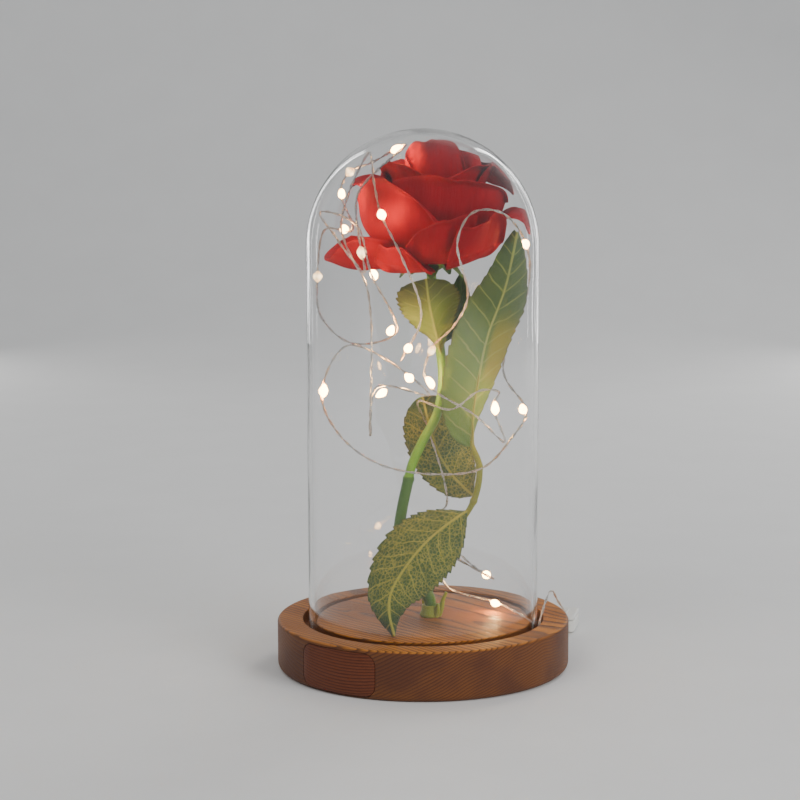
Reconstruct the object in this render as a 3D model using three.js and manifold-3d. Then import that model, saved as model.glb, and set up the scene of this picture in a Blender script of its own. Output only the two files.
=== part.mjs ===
// A cloth rose under a glass dome on a turned wooden base, wound with a string of small lamps.
// Millimetres, +Z up. The origin is the centre of the base's underside; the front looks along -Y.
import * as THREE from 'three';
import { mergeVertices } from 'three/addons/utils/BufferGeometryUtils.js';
import Module from 'manifold-3d';

const wasm = await Module();
wasm.setup();

// Driving dimensions of the base and the glass
const BASE_RADIUS = 70;
const BASE_HEIGHT = 23.5;
const BOTTOM_ROUND = 3;
const TOP_EASE = 1.5;
const PLATE_EDGE = 0.6;
const GROOVE_INNER = 50.8;
const GROOVE_OUTER = 57.8;
const GROOVE_FLOOR = 18;
const GLASS_RADIUS = 55;
const GLASS_WALL = 2.5;
const GLASS_TOP_CENTRE = 202;
const GAP = 0.3;
const CUTTER_SPARE = 5;
const ROUND_SIDES = 48;

// The battery door in the side of the base, and the notch that lets the wire out under the glass
const DOOR = { facing: -126, width: 41.6, height: 21, middle: 11.5, corner: 6, depth: 8 };
const WIRE_NOTCH = { facing: -12, width: 2.4, floor: 16, height: 3, inset: 0.1 };

// The stalks
const STEM_RADIUS = 2.5;
const STEM_HOLE_RADIUS = 2.8;
const STEM_HOLE_DEPTH = 8;
const STEM_FOOT_X = 3.7;
const COLLAR = { bore: 3.3, height: 5.7, wallBelow: 2, wallAbove: 1.2 };
const BRANCH_RADIUS = 1.6;
const STEM_ROUTE = [
  [3.7, 0, 16], [3.7, 0, 24], [3.5, 0, 30.5], [0, 0, 38], [-6, 0, 48], [-10.5, 0, 58], [-11.3, 0, 66],
  [-10, 0, 76], [-7, 0, 90], [-5, 0, 98], [0, 0, 109], [6.8, 0, 122], [9.4, 0, 138], [8.2, 0, 154],
  [5.5, 0, 172], [4, 0, 189.5],
];
const BRANCH_ROUTE = [
  [-8.5, -1.1, 62], [4, -4.5, 63], [16, -8, 70], [23, -10, 80], [25.8, -11, 89], [26.4, -11, 99],
  [23.2, -11, 108.5],
];

// Cloth leaves: the midrib from stalk to tip; for the half on each side of it the greatest width and the two
// powers of its outline, at the stalk and at the tip, small for a full end and large for a slender one; the
// way the face looks; and how far the edges fall back behind the midrib
const CLOTH = 0.6;
const LEAF_ROOT = 0.6;
const LEAVES = {
  leaf_under_flower: {
    rib: [[8.5, -4.7, 151], [6.3, -7.2, 162], [3, -9, 176], [1.5, -6, 187]],
    halves: [[14.5, 1.4, 0.3], [14.5, 1.3, 0.4]], face: [0, -1, 0], cup: 2,
  },
  leaf_behind_flower: {
    rib: [[10.3, 1.8, 157.5], [17, 7, 171], [18.5, 7, 188]], halves: [[5.5, 0.9, 1], [5.5, 0.9, 1]],
    face: [0, -1, 0], cup: 1,
  },
  leaf_upper_right: {
    rib: [[23, -11, 108.9], [23.4, -11.5, 124], [26.2, -13, 142.5], [30.3, -15, 162], [37.4, -19.5, 183],
      [40.6, -23.5, 199], [42.4, -26.5, 210]],
    halves: [[19, 0.5, 0.85], [14, 1.5, 1.1]], face: [0.15, -1, 0.1], cup: 4,
  },
  leaf_middle: {
    rib: [[23.1, -9.4, 84.5], [19.5, -2, 87], [14, 5.5, 92], [8, 8.5, 101], [3.5, 9.6, 114], [0, 9, 129]],
    halves: [[13.5, 0.9, 0.6], [17, 0.8, 0.45]], face: [0, -1, 0.2], cup: -1,
  },
  leaf_lower: {
    rib: [[19.9, -13.5, 76.3], [13.7, -16, 73.5], [2.8, -22, 66], [-7.1, -29, 56], [-15, -36, 43.7],
      [-15.9, -41, 35.4], [-13.6, -44.3, 25.2]],
    halves: [[17, 0.9, 1.2], [17, 0.9, 1.2]], face: [0, -0.85, 0.5], cup: 3,
  },
};

// The flower: its axis, and one row for each petal. A petal leaves the middle at its layer's foot and rises
// along a curve in the plane that faces its way, from the angle start to the angle end above the level, and
// leave and reach say how long it keeps these two angles. Its rim falls by the shoulders at its two sides,
// spiral lets one side lie inside the next petal, and bowl lifts both its edges towards the middle.
const FLOWER = { x: 4, y: 0 };
const CALYX = { low: 190, high: 195.4, neck: 2.6, belly: 6.3, bellyHeight: 192.2, brim: 9 };
const LAYERS = {
  bud: { radius: 2.2, height: 199, foot: 1.5, start: 78, spiral: 2.7 },
  inner: { radius: 4.8, height: 198, foot: 2.2, start: 62, spiral: 2 },
  cup: { radius: 7.6, height: 197.2, foot: 2.6, start: 45, spiral: 2.2 },
  outer: { radius: 10.6, height: 196.4, foot: 2.2, start: 33, spiral: 2 },
};
const PETALS = [
  { layer: 'bud', facing: -90, half: 18, tip: [11, 250.5], end: 100, shoulders: [0.08, 0.16] },
  { layer: 'bud', facing: 30, half: 17, tip: [10, 249.5], end: 100, shoulders: [0.25, 0.12] },
  { layer: 'bud', facing: 150, half: 16, tip: [9.5, 247], end: 100, shoulders: [0.12, 0.12] },
  { layer: 'inner', facing: -30, half: 24, tip: [26.5, 243.5], end: 75, spiral: -0.5, bowl: -2,
    shoulders: [0.1, 0.06] },
  { layer: 'inner', facing: 54, half: 20, tip: [22, 248], end: 80, shoulders: [0.1, 0.1] },
  { layer: 'inner', facing: 128, half: 20.5, tip: [20, 242], end: 80, spiral: 3, shoulders: [0.1, 0.1] },
  { layer: 'inner', facing: 212, half: 21, tip: [20.5, 242], end: 82, spiral: 1.2, shoulders: [0.18, 0.12] },
  { layer: 'cup', facing: -130, half: 28, tip: [33.5, 233], end: 95, start: 4, spiral: 1.6,
    shoulders: [0.16, 0.3], leave: 0.64 },
  { layer: 'cup', facing: -67, half: 33.5, tip: [34.5, 235], end: 88, start: 20, spiral: 1.6,
    shoulders: [0.02, 0.15] },
  { layer: 'cup', facing: 15, half: 25, tip: [42.5, 229], end: -70, start: 43, reach: 0.8, spiral: 0.5,
    shoulders: [0.05, 0.06] },
  { layer: 'cup', facing: 87, half: 19, tip: [33, 236], end: 70, start: 30, spiral: -1,
    shoulders: [0.2, 0.25] },
  { layer: 'cup', facing: 162, half: 19, tip: [41.5, 231], end: -35, start: 40, spiral: 1.2, bowl: -1,
    shoulders: [0.1, 0.35] },
  { layer: 'outer', facing: -171, half: 24.5, tip: [50.5, 197], end: 28, start: -26, spiral: 0, bowl: 15 },
  { layer: 'outer', facing: -118.5, half: 11.5, tip: [38, 206], end: 60, start: -45, spiral: -0.5,
    shoulders: [0.2, 0.62], leave: 0.6 },
  { layer: 'outer', facing: -83, half: 16, tip: [40, 218], end: 80, start: -20, spiral: 0,
    shoulders: [0.24, -0.04], leave: 0.44 },
  { layer: 'outer', facing: -50, half: 17, tip: [41, 219], end: 80, start: -30, spiral: -1.8,
    shoulders: [0.0, 0.33], leave: 0.44 },
  { layer: 'outer', facing: -2.5, half: 21, tip: [50, 211.5], end: -60, start: -28, reach: 0.75,
    spiral: 0.5, bowl: -2 },
  { layer: 'outer', facing: 68.5, half: 18, tip: [42, 206], end: 10, start: 4 },
  { layer: 'outer', facing: 115.5, half: 18, tip: [44, 204], end: -5, start: 20 },
];
const PETAL = {
  shoulders: [0.16, 0.16], bowl: 0, leave: 0.4, reach: 0.4,
  fullAt: 0.75, turnedAt: 0.18, bowlAt: 0.7, offGlass: 1.2,
};
const SEPAL = { count: 5, start: 8.5, end: 15.5, high: 193.8, low: 187.5, root: 0.5, half: 3.2 };

// The light string: its route by hand, from the battery case to the last lamp. A fourth value marks a lamp on
// the point, or a little before it where the wire turns back, as a part of the way to the next point.
const WIRE_RADIUS = 0.45;
const LAMP = { length: 5, belly: 0.44, radius: 1.7, bore: 0.95, stretch: 0.28 };
const ON = 0;
const BEFORE = -0.3;
const LIGHT_ROUTE = [
  [63.8, 55.7, 3.2], [62.5, 50, 2], [67, 36.5, 3], [71, 27.5, 15.5], [66, 19, 26.5], [62.5, 9, 33.5],
  [58, -5, 29.5], [55.2, -11.7, 21.5], [54.8, -11.6, 17.6], [52.6, -11.2, 16.8], [50.6, -10.7, 17.6],
  [50.5, -10.7, 23.4], [48, -10.2, 25.4], [36.5, 8, 28, ON], [11.5, 13, 35.5], [7.5, 7, 53],
  [33.5, -2, 42.5, ON], [21.5, 26, 45.5], [4, 9, 70], [11.5, -4, 80], [2.5, 5, 114.5], [-2, -8, 129.5],
  [13, -15, 126.5], [26.5, -19, 136], [35, -22, 135.5], [32, -24, 130, ON], [37.5, -24, 112.5],
  [24.5, -19, 124], [1.5, -10, 139, ON], [3.5, -12, 154, ON], [14, -25, 167], [20, -38, 182.5],
  [15, -47.5, 207.5], [21, -43, 219.5], [34.5, -31, 219.5], [48, -10, 203, ON], [51, 2, 183.5],
  [38, -2, 143.5], [47.5, -16, 126.5, ON], [40, -31, 115.5], [26, -43.5, 103.5], [4, -49.5, 102],
  [-20, -46, 106], [-38, -33, 117.5], [-46.5, -18, 135.5, ON], [-34, -23, 158], [3, -13, 133, BEFORE],
  [-21.5, -22, 138, ON], [-24.5, -24, 115.5], [-25.5, -38, 186.5], [-38, -32.5, 207],
  [-47.5, -6, 218.5], [-30, -27, 213.5],
  [-23.5, -43, 193.5, ON], [-13, -17, 162.5, ON], [-33, -16, 158], [-46.5, -14, 169.5], [-49, -8, 188, ON],
  [-45.5, -10, 210], [-32, -24.5, 211.5, BEFORE], [-38, -8, 228, ON], [-34, -3, 237, ON],
  [-24, -8, 241], [-7.5, -11, 249.3, BEFORE], [-29.5, -26, 227], [-26.5, -38, 193, BEFORE],
  [-37, -26, 213], [-24.5, -11, 245.5], [-22, -28.5, 233], [-19, -37, 219.5, ON], [-10, -46.5, 201.5],
  [-1, -36, 173.5], [-10.5, -16, 149.5, BEFORE],
];

// The battery case on the surface behind the base, turned a little towards it
const CASE = {
  x: 55, y: 72, turn: -12, length: 50, width: 22, body: 6.4, lid: 2.2,
  nozzle: { x: 12, root: 2.2, end: 1.5, length: 3, sunk: 0.3 },
};
const SWITCH = { length: 7, width: 4, height: 1.4, x: -14 };

const COLOURS = {
  wood: [0x7a4526, 0.55], door: [0x6e3220, 0.5], glass: [0xf4f7f6, 0.03], stem: [0x5f9a22, 0.45],
  branch: [0x9a9226, 0.5], leaf: [0x5f7434, 0.7], calyx: [0x4f7a2a, 0.6], petal: [0xc4161c, 0.75],
  wire: [0xc9b79a, 0.3], lamp: [0xfff0c8, 0.15], plastic: [0xe4e0d6, 0.4],
};
const group = new THREE.Group();
const radians = THREE.MathUtils.degToRad;
const polar = (length, degrees) => new THREE.Vector2(Math.cos(radians(degrees)), Math.sin(radians(degrees)))
  .multiplyScalar(length);

function add(name, geometry, colour, parent = group) {
  const [color, roughness] = COLOURS[colour];
  const metalness = colour === 'wire' ? 0.9 : 0;
  const mesh = new THREE.Mesh(geometry, new THREE.MeshStandardMaterial({ color, roughness, metalness }));
  mesh.name = name;
  parent.add(mesh);
  return mesh;
}

// Merge a geometry's shared corners, drop triangles that closed to a line, and turn its faces outward
function closed(geometry) {
  geometry.deleteAttribute('normal');
  geometry.deleteAttribute('uv');
  const merged = mergeVertices(geometry, 1e-4);
  const at = merged.attributes.position;
  const corners = [];
  let volume = 0;
  const [a, b, c] = [new THREE.Vector3(), new THREE.Vector3(), new THREE.Vector3()];
  for (let i = 0; i < merged.index.count; i += 3) {
    const [p, q, r] = [0, 1, 2].map((k) => merged.index.getX(i + k));
    if (p === q || q === r || r === p) continue;
    corners.push(p, q, r);
    a.fromBufferAttribute(at, p);
    b.fromBufferAttribute(at, q);
    c.fromBufferAttribute(at, r);
    volume += a.dot(b.cross(c));
  }
  if (volume < 0) corners.reverse();
  merged.setIndex(corners);
  return merged;
}

// Turn a closed profile of [radius, height] points about the Z axis
function turned(profile, sides) {
  const points = profile.map(([radius, height]) => new THREE.Vector2(radius, height));
  return closed(new THREE.LatheGeometry(points, sides).rotateX(Math.PI / 2));
}

// The points of an arc in the radius and height plane
function arc(cx, cz, radius, from, to, steps) {
  return Array.from({ length: steps + 1 }, (_, i) => {
    const angle = radians(from + ((to - from) * i) / steps);
    return [cx + radius * Math.cos(angle), cz + radius * Math.sin(angle)];
  });
}

function manifoldOf(geometry) {
  const vertProperties = new Float32Array(geometry.attributes.position.array);
  const triVerts = new Uint32Array(geometry.index.array);
  return new wasm.Manifold(new wasm.Mesh({ numProp: 3, vertProperties, triVerts }));
}

function geometryOf(manifold) {
  const { vertProperties, triVerts } = manifold.getMesh();
  const geometry = new THREE.BufferGeometry();
  geometry.setAttribute('position', new THREE.BufferAttribute(new Float32Array(vertProperties), 3));
  geometry.setIndex(new THREE.BufferAttribute(new Uint32Array(triVerts), 1));
  return geometry;
}

// A round rod along a curve through the points
function rod(points, radius, sides, steps) {
  const path = new THREE.CatmullRomCurve3(points.map((p) => new THREE.Vector3(...p)));
  return tube(path, radius, sides, steps);
}

function tube(extrudePath, radius, sides, steps) {
  const corners = Array.from({ length: sides }, (_, i) => polar(radius, (i * 360) / sides));
  const shape = new THREE.Shape(corners);
  return closed(new THREE.ExtrudeGeometry(shape, { extrudePath, steps, bevelEnabled: false }));
}

// A thin cloth sheet. place(u, v) is its middle surface, u across from -1 to 1 and v along from 0 to 1.
function sheet(place, across, along, thickness) {
  const grid = [];
  for (let j = 0; j <= along; j += 1) {
    for (let i = 0; i <= across; i += 1) grid.push(place((2 * i) / across - 1, j / along));
  }
  const at = (i, j) => grid[j * (across + 1) + i];
  const sides = [1, -1].map((side) => grid.map((point, k) => {
    const i = k % (across + 1);
    const j = Math.floor(k / (across + 1));
    const wide = at(Math.min(i + 1, across), j).clone().sub(at(Math.max(i - 1, 0), j));
    const long = at(i, Math.min(j + 1, along)).clone().sub(at(i, Math.max(j - 1, 0)));
    return point.clone().addScaledVector(wide.cross(long).normalize(), (side * thickness) / 2);
  }));
  const positions = sides.flat().flatMap((p) => p.toArray());
  const index = [];
  const quad = (a, b, c, d) => index.push(a, b, c, a, c, d);
  const front = (i, j) => j * (across + 1) + i;
  const back = (i, j) => front(i, j) + grid.length;
  for (let j = 0; j < along; j += 1) {
    for (let i = 0; i < across; i += 1) {
      quad(front(i, j), front(i + 1, j), front(i + 1, j + 1), front(i, j + 1));
      quad(back(i, j), back(i, j + 1), back(i + 1, j + 1), back(i + 1, j));
    }
  }
  for (let i = 0; i < across; i += 1) {
    quad(front(i, 0), back(i, 0), back(i + 1, 0), front(i + 1, 0));
    quad(front(i + 1, along), back(i + 1, along), back(i, along), front(i, along));
  }
  for (let j = 0; j < along; j += 1) {
    quad(front(0, j + 1), back(0, j + 1), back(0, j), front(0, j));
    quad(front(across, j), back(across, j), back(across, j + 1), front(across, j + 1));
  }
  const geometry = new THREE.BufferGeometry();
  geometry.setAttribute('position', new THREE.Float32BufferAttribute(positions, 3));
  geometry.setIndex(index);
  return closed(geometry);
}

// A rounded rectangle pushed out through the base's side: the door's pocket, or with a gap the door itself
function sidePlug(gap) {
  const [w, h, corner] = [DOOR.width / 2 - gap, DOOR.height / 2 - gap, DOOR.corner - gap];
  const inner = BASE_RADIUS - DOOR.depth + gap;
  const depth = BASE_RADIUS + CUTTER_SPARE - inner;
  const outline = new THREE.Shape();
  outline.moveTo(-w + corner, -h);
  outline.lineTo(w - corner, -h);
  outline.absarc(w - corner, -h + corner, corner, -Math.PI / 2, 0);
  outline.absarc(w - corner, h - corner, corner, 0, Math.PI / 2);
  outline.absarc(-w + corner, h - corner, corner, Math.PI / 2, Math.PI);
  outline.absarc(-w + corner, -h + corner, corner, Math.PI, Math.PI * 1.5);
  const plug = new THREE.ExtrudeGeometry(outline, { depth, bevelEnabled: false, curveSegments: 4 });
  const facing = new THREE.Matrix4().makeBasis(
    new THREE.Vector3(0, 1, 0), new THREE.Vector3(0, 0, 1), new THREE.Vector3(1, 0, 0),
  );
  plug.translate(0, 0, inner).applyMatrix4(facing).rotateZ(radians(DOOR.facing));
  return manifoldOf(closed(plug.translate(0, 0, DOOR.middle)));
}

function makeBase() {
  const profile = [
    [0, 0], ...arc(BASE_RADIUS - BOTTOM_ROUND, BOTTOM_ROUND, BOTTOM_ROUND, -90, 0, 3),
    ...arc(BASE_RADIUS - TOP_EASE, BASE_HEIGHT - TOP_EASE, TOP_EASE, 0, 90, 2),
    [GROOVE_OUTER, BASE_HEIGHT], [GROOVE_OUTER, GROOVE_FLOOR], [GROOVE_INNER, GROOVE_FLOOR],
    [GROOVE_INNER, BASE_HEIGHT - PLATE_EDGE], [GROOVE_INNER - PLATE_EDGE, BASE_HEIGHT], [0, BASE_HEIGHT],
  ];
  const body = manifoldOf(turned(profile, ROUND_SIDES));
  const pocket = sidePlug(0);
  const plug = sidePlug(GAP);
  const { facing, width, floor, height, inset } = WIRE_NOTCH;
  const notch = new THREE.BoxGeometry(GROOVE_OUTER - GROOVE_INNER - 2 * inset, width, height);
  notch.translate((GROOVE_OUTER + GROOVE_INNER) / 2, 0, floor + height / 2).rotateZ(radians(facing));
  const deep = STEM_HOLE_DEPTH + CUTTER_SPARE;
  const hole = new THREE.CylinderGeometry(STEM_HOLE_RADIUS, STEM_HOLE_RADIUS, deep, 16);
  hole.rotateX(Math.PI / 2).translate(STEM_FOOT_X, 0, BASE_HEIGHT + CUTTER_SPARE - deep / 2);
  const cutters = [notch, hole].map((cutter) => manifoldOf(closed(cutter)));
  const base = [pocket, ...cutters].reduce((left, cutter) => left.subtract(cutter), body);
  add('wooden_base', geometryOf(base), 'wood');
  add('battery_door', geometryOf(body.intersect(plug)), 'door');
}

function makeDome() {
  const foot = GROOVE_FLOOR + GAP;
  const inner = GLASS_RADIUS - GLASS_WALL;
  const profile = [
    [inner, foot], [GLASS_RADIUS, foot], ...arc(0, GLASS_TOP_CENTRE, GLASS_RADIUS, 0, 90, 7),
    ...arc(0, GLASS_TOP_CENTRE, inner, 90, 0, 7), [inner, foot],
  ];
  add('glass_dome', turned(profile, ROUND_SIDES), 'glass');
}

function makeStalks() {
  add('main_stem', rod(STEM_ROUTE, STEM_RADIUS, 8, 22), 'stem');
  add('branch_stem', rod(BRANCH_ROUTE, BRANCH_RADIUS, 8, 14), 'branch');
  const { bore, height, wallBelow, wallAbove } = COLLAR;
  const collar = [[bore, 0], [bore + wallBelow, 0], [bore + wallAbove, height], [bore, height], [bore, 0]];
  add('stem_foot', turned(collar, 12), 'branch').position.set(STEM_FOOT_X, 0, BASE_HEIGHT + GAP);
  const cup = [
    [0, CALYX.low], [CALYX.neck, CALYX.low], [CALYX.belly, CALYX.bellyHeight], [CALYX.brim, CALYX.high],
    [0, CALYX.high],
  ];
  add('calyx', turned(cup, 16), 'calyx').position.set(FLOWER.x, FLOWER.y, 0);
}

// A leaf's middle surface: along the midrib, out to each side by that half's outline, its edges fallen back
function leafPlace({ rib, halves, face, cup }) {
  const path = new THREE.CatmullRomCurve3(rib.map((p) => new THREE.Vector3(...p)));
  const front = new THREE.Vector3(...face).normalize();
  const outlines = halves.map(([widest, atStalk, atTip]) => {
    const rise = (v) => v ** atStalk * (1 - v) ** atTip;
    const most = rise(atStalk / (atStalk + atTip));
    return (v) => LEAF_ROOT + widest * (rise(v) / most);
  });
  return (u, v) => {
    const along = path.getTangentAt(v);
    const side = along.clone().cross(front).normalize();
    const out = side.clone().cross(along).normalize();
    const width = outlines[u < 0 ? 0 : 1](v);
    return path.getPointAt(v).addScaledVector(side, u * width).addScaledVector(out, -cup * u * u);
  };
}

// A petal's middle surface. Its spine is a curve in the plane that it faces, its width follows a circle about
// the flower's axis, and its two edges stand one outside and one inside it, so that neighbours lie in turn.
function petalPlace({ layer, facing, half, tip, end, ...own }) {
  const shape = { ...PETAL, ...LAYERS[layer], ...own };
  const { radius, height, foot, start, spiral, leave, reach, shoulders, bowl } = shape;
  const from = new THREE.Vector2(radius, height);
  const to = new THREE.Vector2(...tip);
  const pull = from.distanceTo(to);
  const leaving = from.clone().add(polar(leave * pull, start));
  const arriving = to.clone().sub(polar(reach * pull, end));
  const spine = new THREE.CubicBezierCurve(from, leaving, arriving, to);
  return (u, v) => {
    const along = v * (1 - shoulders[u < 0 ? 0 : 1] * Math.abs(u) ** 3);
    const spot = spine.getPoint(along);
    const slope = spine.getTangent(along);
    const width = foot + (half - foot) * Math.sin(Math.min(v / PETAL.fullAt, 1) * Math.PI / 2) ** 1.4;
    const raised = bowl * u * u * THREE.MathUtils.smoothstep(v, 0, PETAL.bowlAt);
    const offset = spiral * u * Math.min(v / PETAL.turnedAt, 1) - raised;
    const r = spot.x + slope.y * offset;
    const z = spot.y - slope.x * offset;
    const angle = radians(facing) + (u * width) / Math.max(spot.x, radius);
    const point = new THREE.Vector3(FLOWER.x + r * Math.cos(angle), FLOWER.y + r * Math.sin(angle), z);
    return keepInGlass(point);
  };
}

// Cloth that would reach the glass is held just inside it
function keepInGlass(point) {
  const limit = GLASS_RADIUS - GLASS_WALL - PETAL.offGlass;
  const rise = Math.max(point.z - GLASS_TOP_CENTRE, 0);
  const room = Math.sqrt(limit * limit - rise * rise);
  const radius = Math.hypot(point.x, point.y);
  if (radius > room) point.set(point.x * room / radius, point.y * room / radius, point.z);
  return point;
}

function sepalPlace(facing) {
  const { start, end, high, low, root, half } = SEPAL;
  return (u, v) => {
    const r = start + (end - start) * v;
    const side = u * (root + half * Math.sin(Math.PI * v ** 0.7) ** 0.8);
    const z = high + (low - high) * v * v;
    const turn = radians(facing);
    const [x, y] = [r * Math.cos(turn) - side * Math.sin(turn), r * Math.sin(turn) + side * Math.cos(turn)];
    return new THREE.Vector3(FLOWER.x + x, FLOWER.y + y, z);
  };
}

function makeCloth() {
  for (const [name, leaf] of Object.entries(LEAVES)) add(name, sheet(leafPlace(leaf), 4, 6, CLOTH), 'leaf');
  PETALS.forEach((petal, i) => {
    add(`petal_${String(i + 1).padStart(2, '0')}`, sheet(petalPlace(petal), 6, 4, CLOTH), 'petal');
  });
  for (let i = 0; i < SEPAL.count; i += 1) {
    const facing = -90 + (i * 360) / SEPAL.count;
    add(`sepal_${i + 1}`, sheet(sepalPlace(facing), 2, 4, CLOTH), 'calyx');
  }
}

// The wire's curve is read at chosen places, so that a straight stretch lies through each lamp
class WireCurve extends THREE.Curve {
  constructor(points) {
    super();
    this.spline = new THREE.CatmullRomCurve3(points.map(([x, y, z]) => new THREE.Vector3(x, y, z)));
    this.spans = points.length - 1;
    this.lamps = points.flatMap(([, , , shift], i) => (shift === undefined ? [] : [i + shift]));
    const plain = points.flatMap(([, , , shift], i) => (shift === undefined ? [i] : []));
    const ends = this.lamps.flatMap((at) => [at - LAMP.stretch, at + LAMP.stretch]);
    this.stops = [...plain, ...ends].sort((a, b) => a - b);
  }

  at(stop) {
    return this.spline.getPoint(stop / this.spans);
  }

  stop(t) {
    return this.stops[Math.round(t * (this.stops.length - 1))];
  }

  getPointAt(t) {
    return this.at(this.stop(t));
  }

  getTangentAt(t) {
    return this.spline.getTangent(this.stop(t) / this.spans);
  }
}

function makeLights() {
  const curve = new WireCurve(LIGHT_ROUTE);
  const steps = curve.stops.length - 1;
  add('light_wire', tube(curve, WIRE_RADIUS, 8, steps), 'wire');
  const { radius, bore } = LAMP;
  const [end, belly] = [LAMP.length / 2, (LAMP.length * LAMP.belly) / 2];
  const drop = [[bore, -end], [radius, -belly], [radius, belly], [bore, end], [bore, -end]];
  const up = new THREE.Vector3(0, 0, 1);
  curve.lamps.forEach((at, i) => {
    const before = curve.at(at - LAMP.stretch);
    const after = curve.at(at + LAMP.stretch);
    const lamp = add(`lamp_${String(i + 1).padStart(2, '0')}`, turned(drop, 6), 'lamp');
    lamp.position.copy(before).lerp(after, 0.5);
    lamp.quaternion.setFromUnitVectors(up, after.sub(before).normalize());
  });
}

function makeCase() {
  const { length, width, body, lid, nozzle } = CASE;
  const place = new THREE.Group();
  place.position.set(CASE.x, CASE.y, 0);
  place.rotation.z = radians(CASE.turn);
  group.add(place);
  const box = manifoldOf(closed(new THREE.BoxGeometry(length, width, body).translate(0, 0, body / 2)));
  const outlet = new THREE.CylinderGeometry(nozzle.root, nozzle.end, nozzle.length, 12);
  outlet.translate(nozzle.x, nozzle.sunk - width / 2 - nozzle.length / 2, body / 2);
  add('battery_case', geometryOf(box.add(manifoldOf(closed(outlet)))), 'plastic', place);
  const cover = closed(new THREE.BoxGeometry(length, width, lid));
  add('case_lid', cover, 'plastic', place).position.z = body + GAP + lid / 2;
  const slider = closed(new THREE.BoxGeometry(SWITCH.length, SWITCH.width, SWITCH.height));
  const top = body + GAP + lid + GAP + SWITCH.height / 2;
  add('case_switch', slider, 'plastic', place).position.set(SWITCH.x, 0, top);
}

makeBase();
makeDome();
makeStalks();
makeCloth();
makeLights();
makeCase();

export default group;
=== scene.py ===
# %% [markdown]
# A red cloth rose stands under a blown glass dome on a turned wooden base, wound with a wire of small warm
# lamps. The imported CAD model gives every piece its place. This lesson builds the same pieces again, finer:
# each is a surface worked out with numpy as a grid of points, in millimetres, and put into a mesh in
# metres.

# %% Load the frame
import math

import bmesh
import bpy
import numpy as np
from mathutils import Matrix, Vector


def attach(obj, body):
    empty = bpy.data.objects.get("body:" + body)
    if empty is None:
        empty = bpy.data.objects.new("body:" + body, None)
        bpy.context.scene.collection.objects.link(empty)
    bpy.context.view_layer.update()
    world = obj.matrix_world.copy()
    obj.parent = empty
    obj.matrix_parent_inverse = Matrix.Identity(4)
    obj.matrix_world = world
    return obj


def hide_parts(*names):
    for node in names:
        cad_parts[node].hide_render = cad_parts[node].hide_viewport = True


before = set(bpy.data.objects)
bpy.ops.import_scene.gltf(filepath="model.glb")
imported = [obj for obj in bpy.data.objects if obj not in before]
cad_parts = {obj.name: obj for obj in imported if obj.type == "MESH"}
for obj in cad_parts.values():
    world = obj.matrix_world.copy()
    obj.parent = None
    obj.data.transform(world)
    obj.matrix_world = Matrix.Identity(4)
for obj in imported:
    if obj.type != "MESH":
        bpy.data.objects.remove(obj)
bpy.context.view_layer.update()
MM = 0.001
print(len(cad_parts), "packed nodes")

# %% [markdown]
# The camera comes first. It looks along +Y and a little down, from just over a metre away, through a lens
# that was fitted to the outlines of the base, the plate, the groove and the glass. A long lens far off
# would give nearly the same outline, but the ellipses of the base tell the distance, so the real one is
# kept.

# %% Camera
AIM = Vector((-0.0108, 0.0, 0.1287))
CAMERA_DISTANCE = 1.0901
PITCH, ROLL = math.radians(8.45), math.radians(-0.175)
SENSOR_WIDTH, FOCAL_LENGTH = 36.0, 103.2
camera = bpy.data.objects.new("camera", bpy.data.cameras.new("camera"))
bpy.context.scene.collection.objects.link(camera)
camera.data.sensor_width, camera.data.lens = SENSOR_WIDTH, FOCAL_LENGTH
away = Vector((0, -math.cos(PITCH), math.sin(PITCH))) * CAMERA_DISTANCE
turn = Matrix.Rotation(math.pi / 2 - PITCH, 4, "X") @ Matrix.Rotation(ROLL, 4, "Z")
camera.matrix_world = Matrix.Translation(AIM + away) @ turn
bpy.context.scene.camera = camera
print("camera at", [round(x, 3) for x in camera.location])

# %% [markdown]
# Most pieces need the same few tools: a grid of points becomes quads, a profile is turned about an axis, a
# section is carried along a path, and a sheet of cloth gets its two faces and its rim. Each tool works on
# whole arrays. The mesh carries what the materials read as attributes: how far across and how far along a
# piece a point is, and which face of the cloth it is on.

# %% Vectors and grids
def unit(vectors):
    """Each vector divided by its own length."""
    return vectors / np.maximum(np.linalg.norm(vectors, axis=-1, keepdims=True), 1e-12)


def ease(x):
    """A step with soft ends: 0 below 0, 1 above 1, and 3x^2 - 2x^3 between."""
    x = np.clip(x, 0.0, 1.0)
    return x * x * (3 - 2 * x)


def quads(rows, cols, wrapped=False):
    """The quads of a grid of rows by cols points, closed round the columns if it is wrapped."""
    index = np.arange(rows * cols).reshape(rows, cols)
    if wrapped:
        index = np.concatenate([index, index[:, :1]], axis=1)
    corners = [index[:-1, :-1], index[:-1, 1:], index[1:, 1:], index[1:, :-1]]
    return np.stack(corners, axis=-1).reshape(-1, 4)


def waves(rng, x, count, lowest, strength):
    """A smooth random line: strength times the sum of sin(k lowest x + a seeded phase) / k, k from 1 up."""
    phases = rng.uniform(0, 2 * np.pi, count)
    return strength * sum(np.sin(lowest * (k + 1) * x + phases[k]) / (k + 1) for k in range(count))


print("a grid of 3 by 4 points has", len(quads(3, 4)), "quads")

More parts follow.
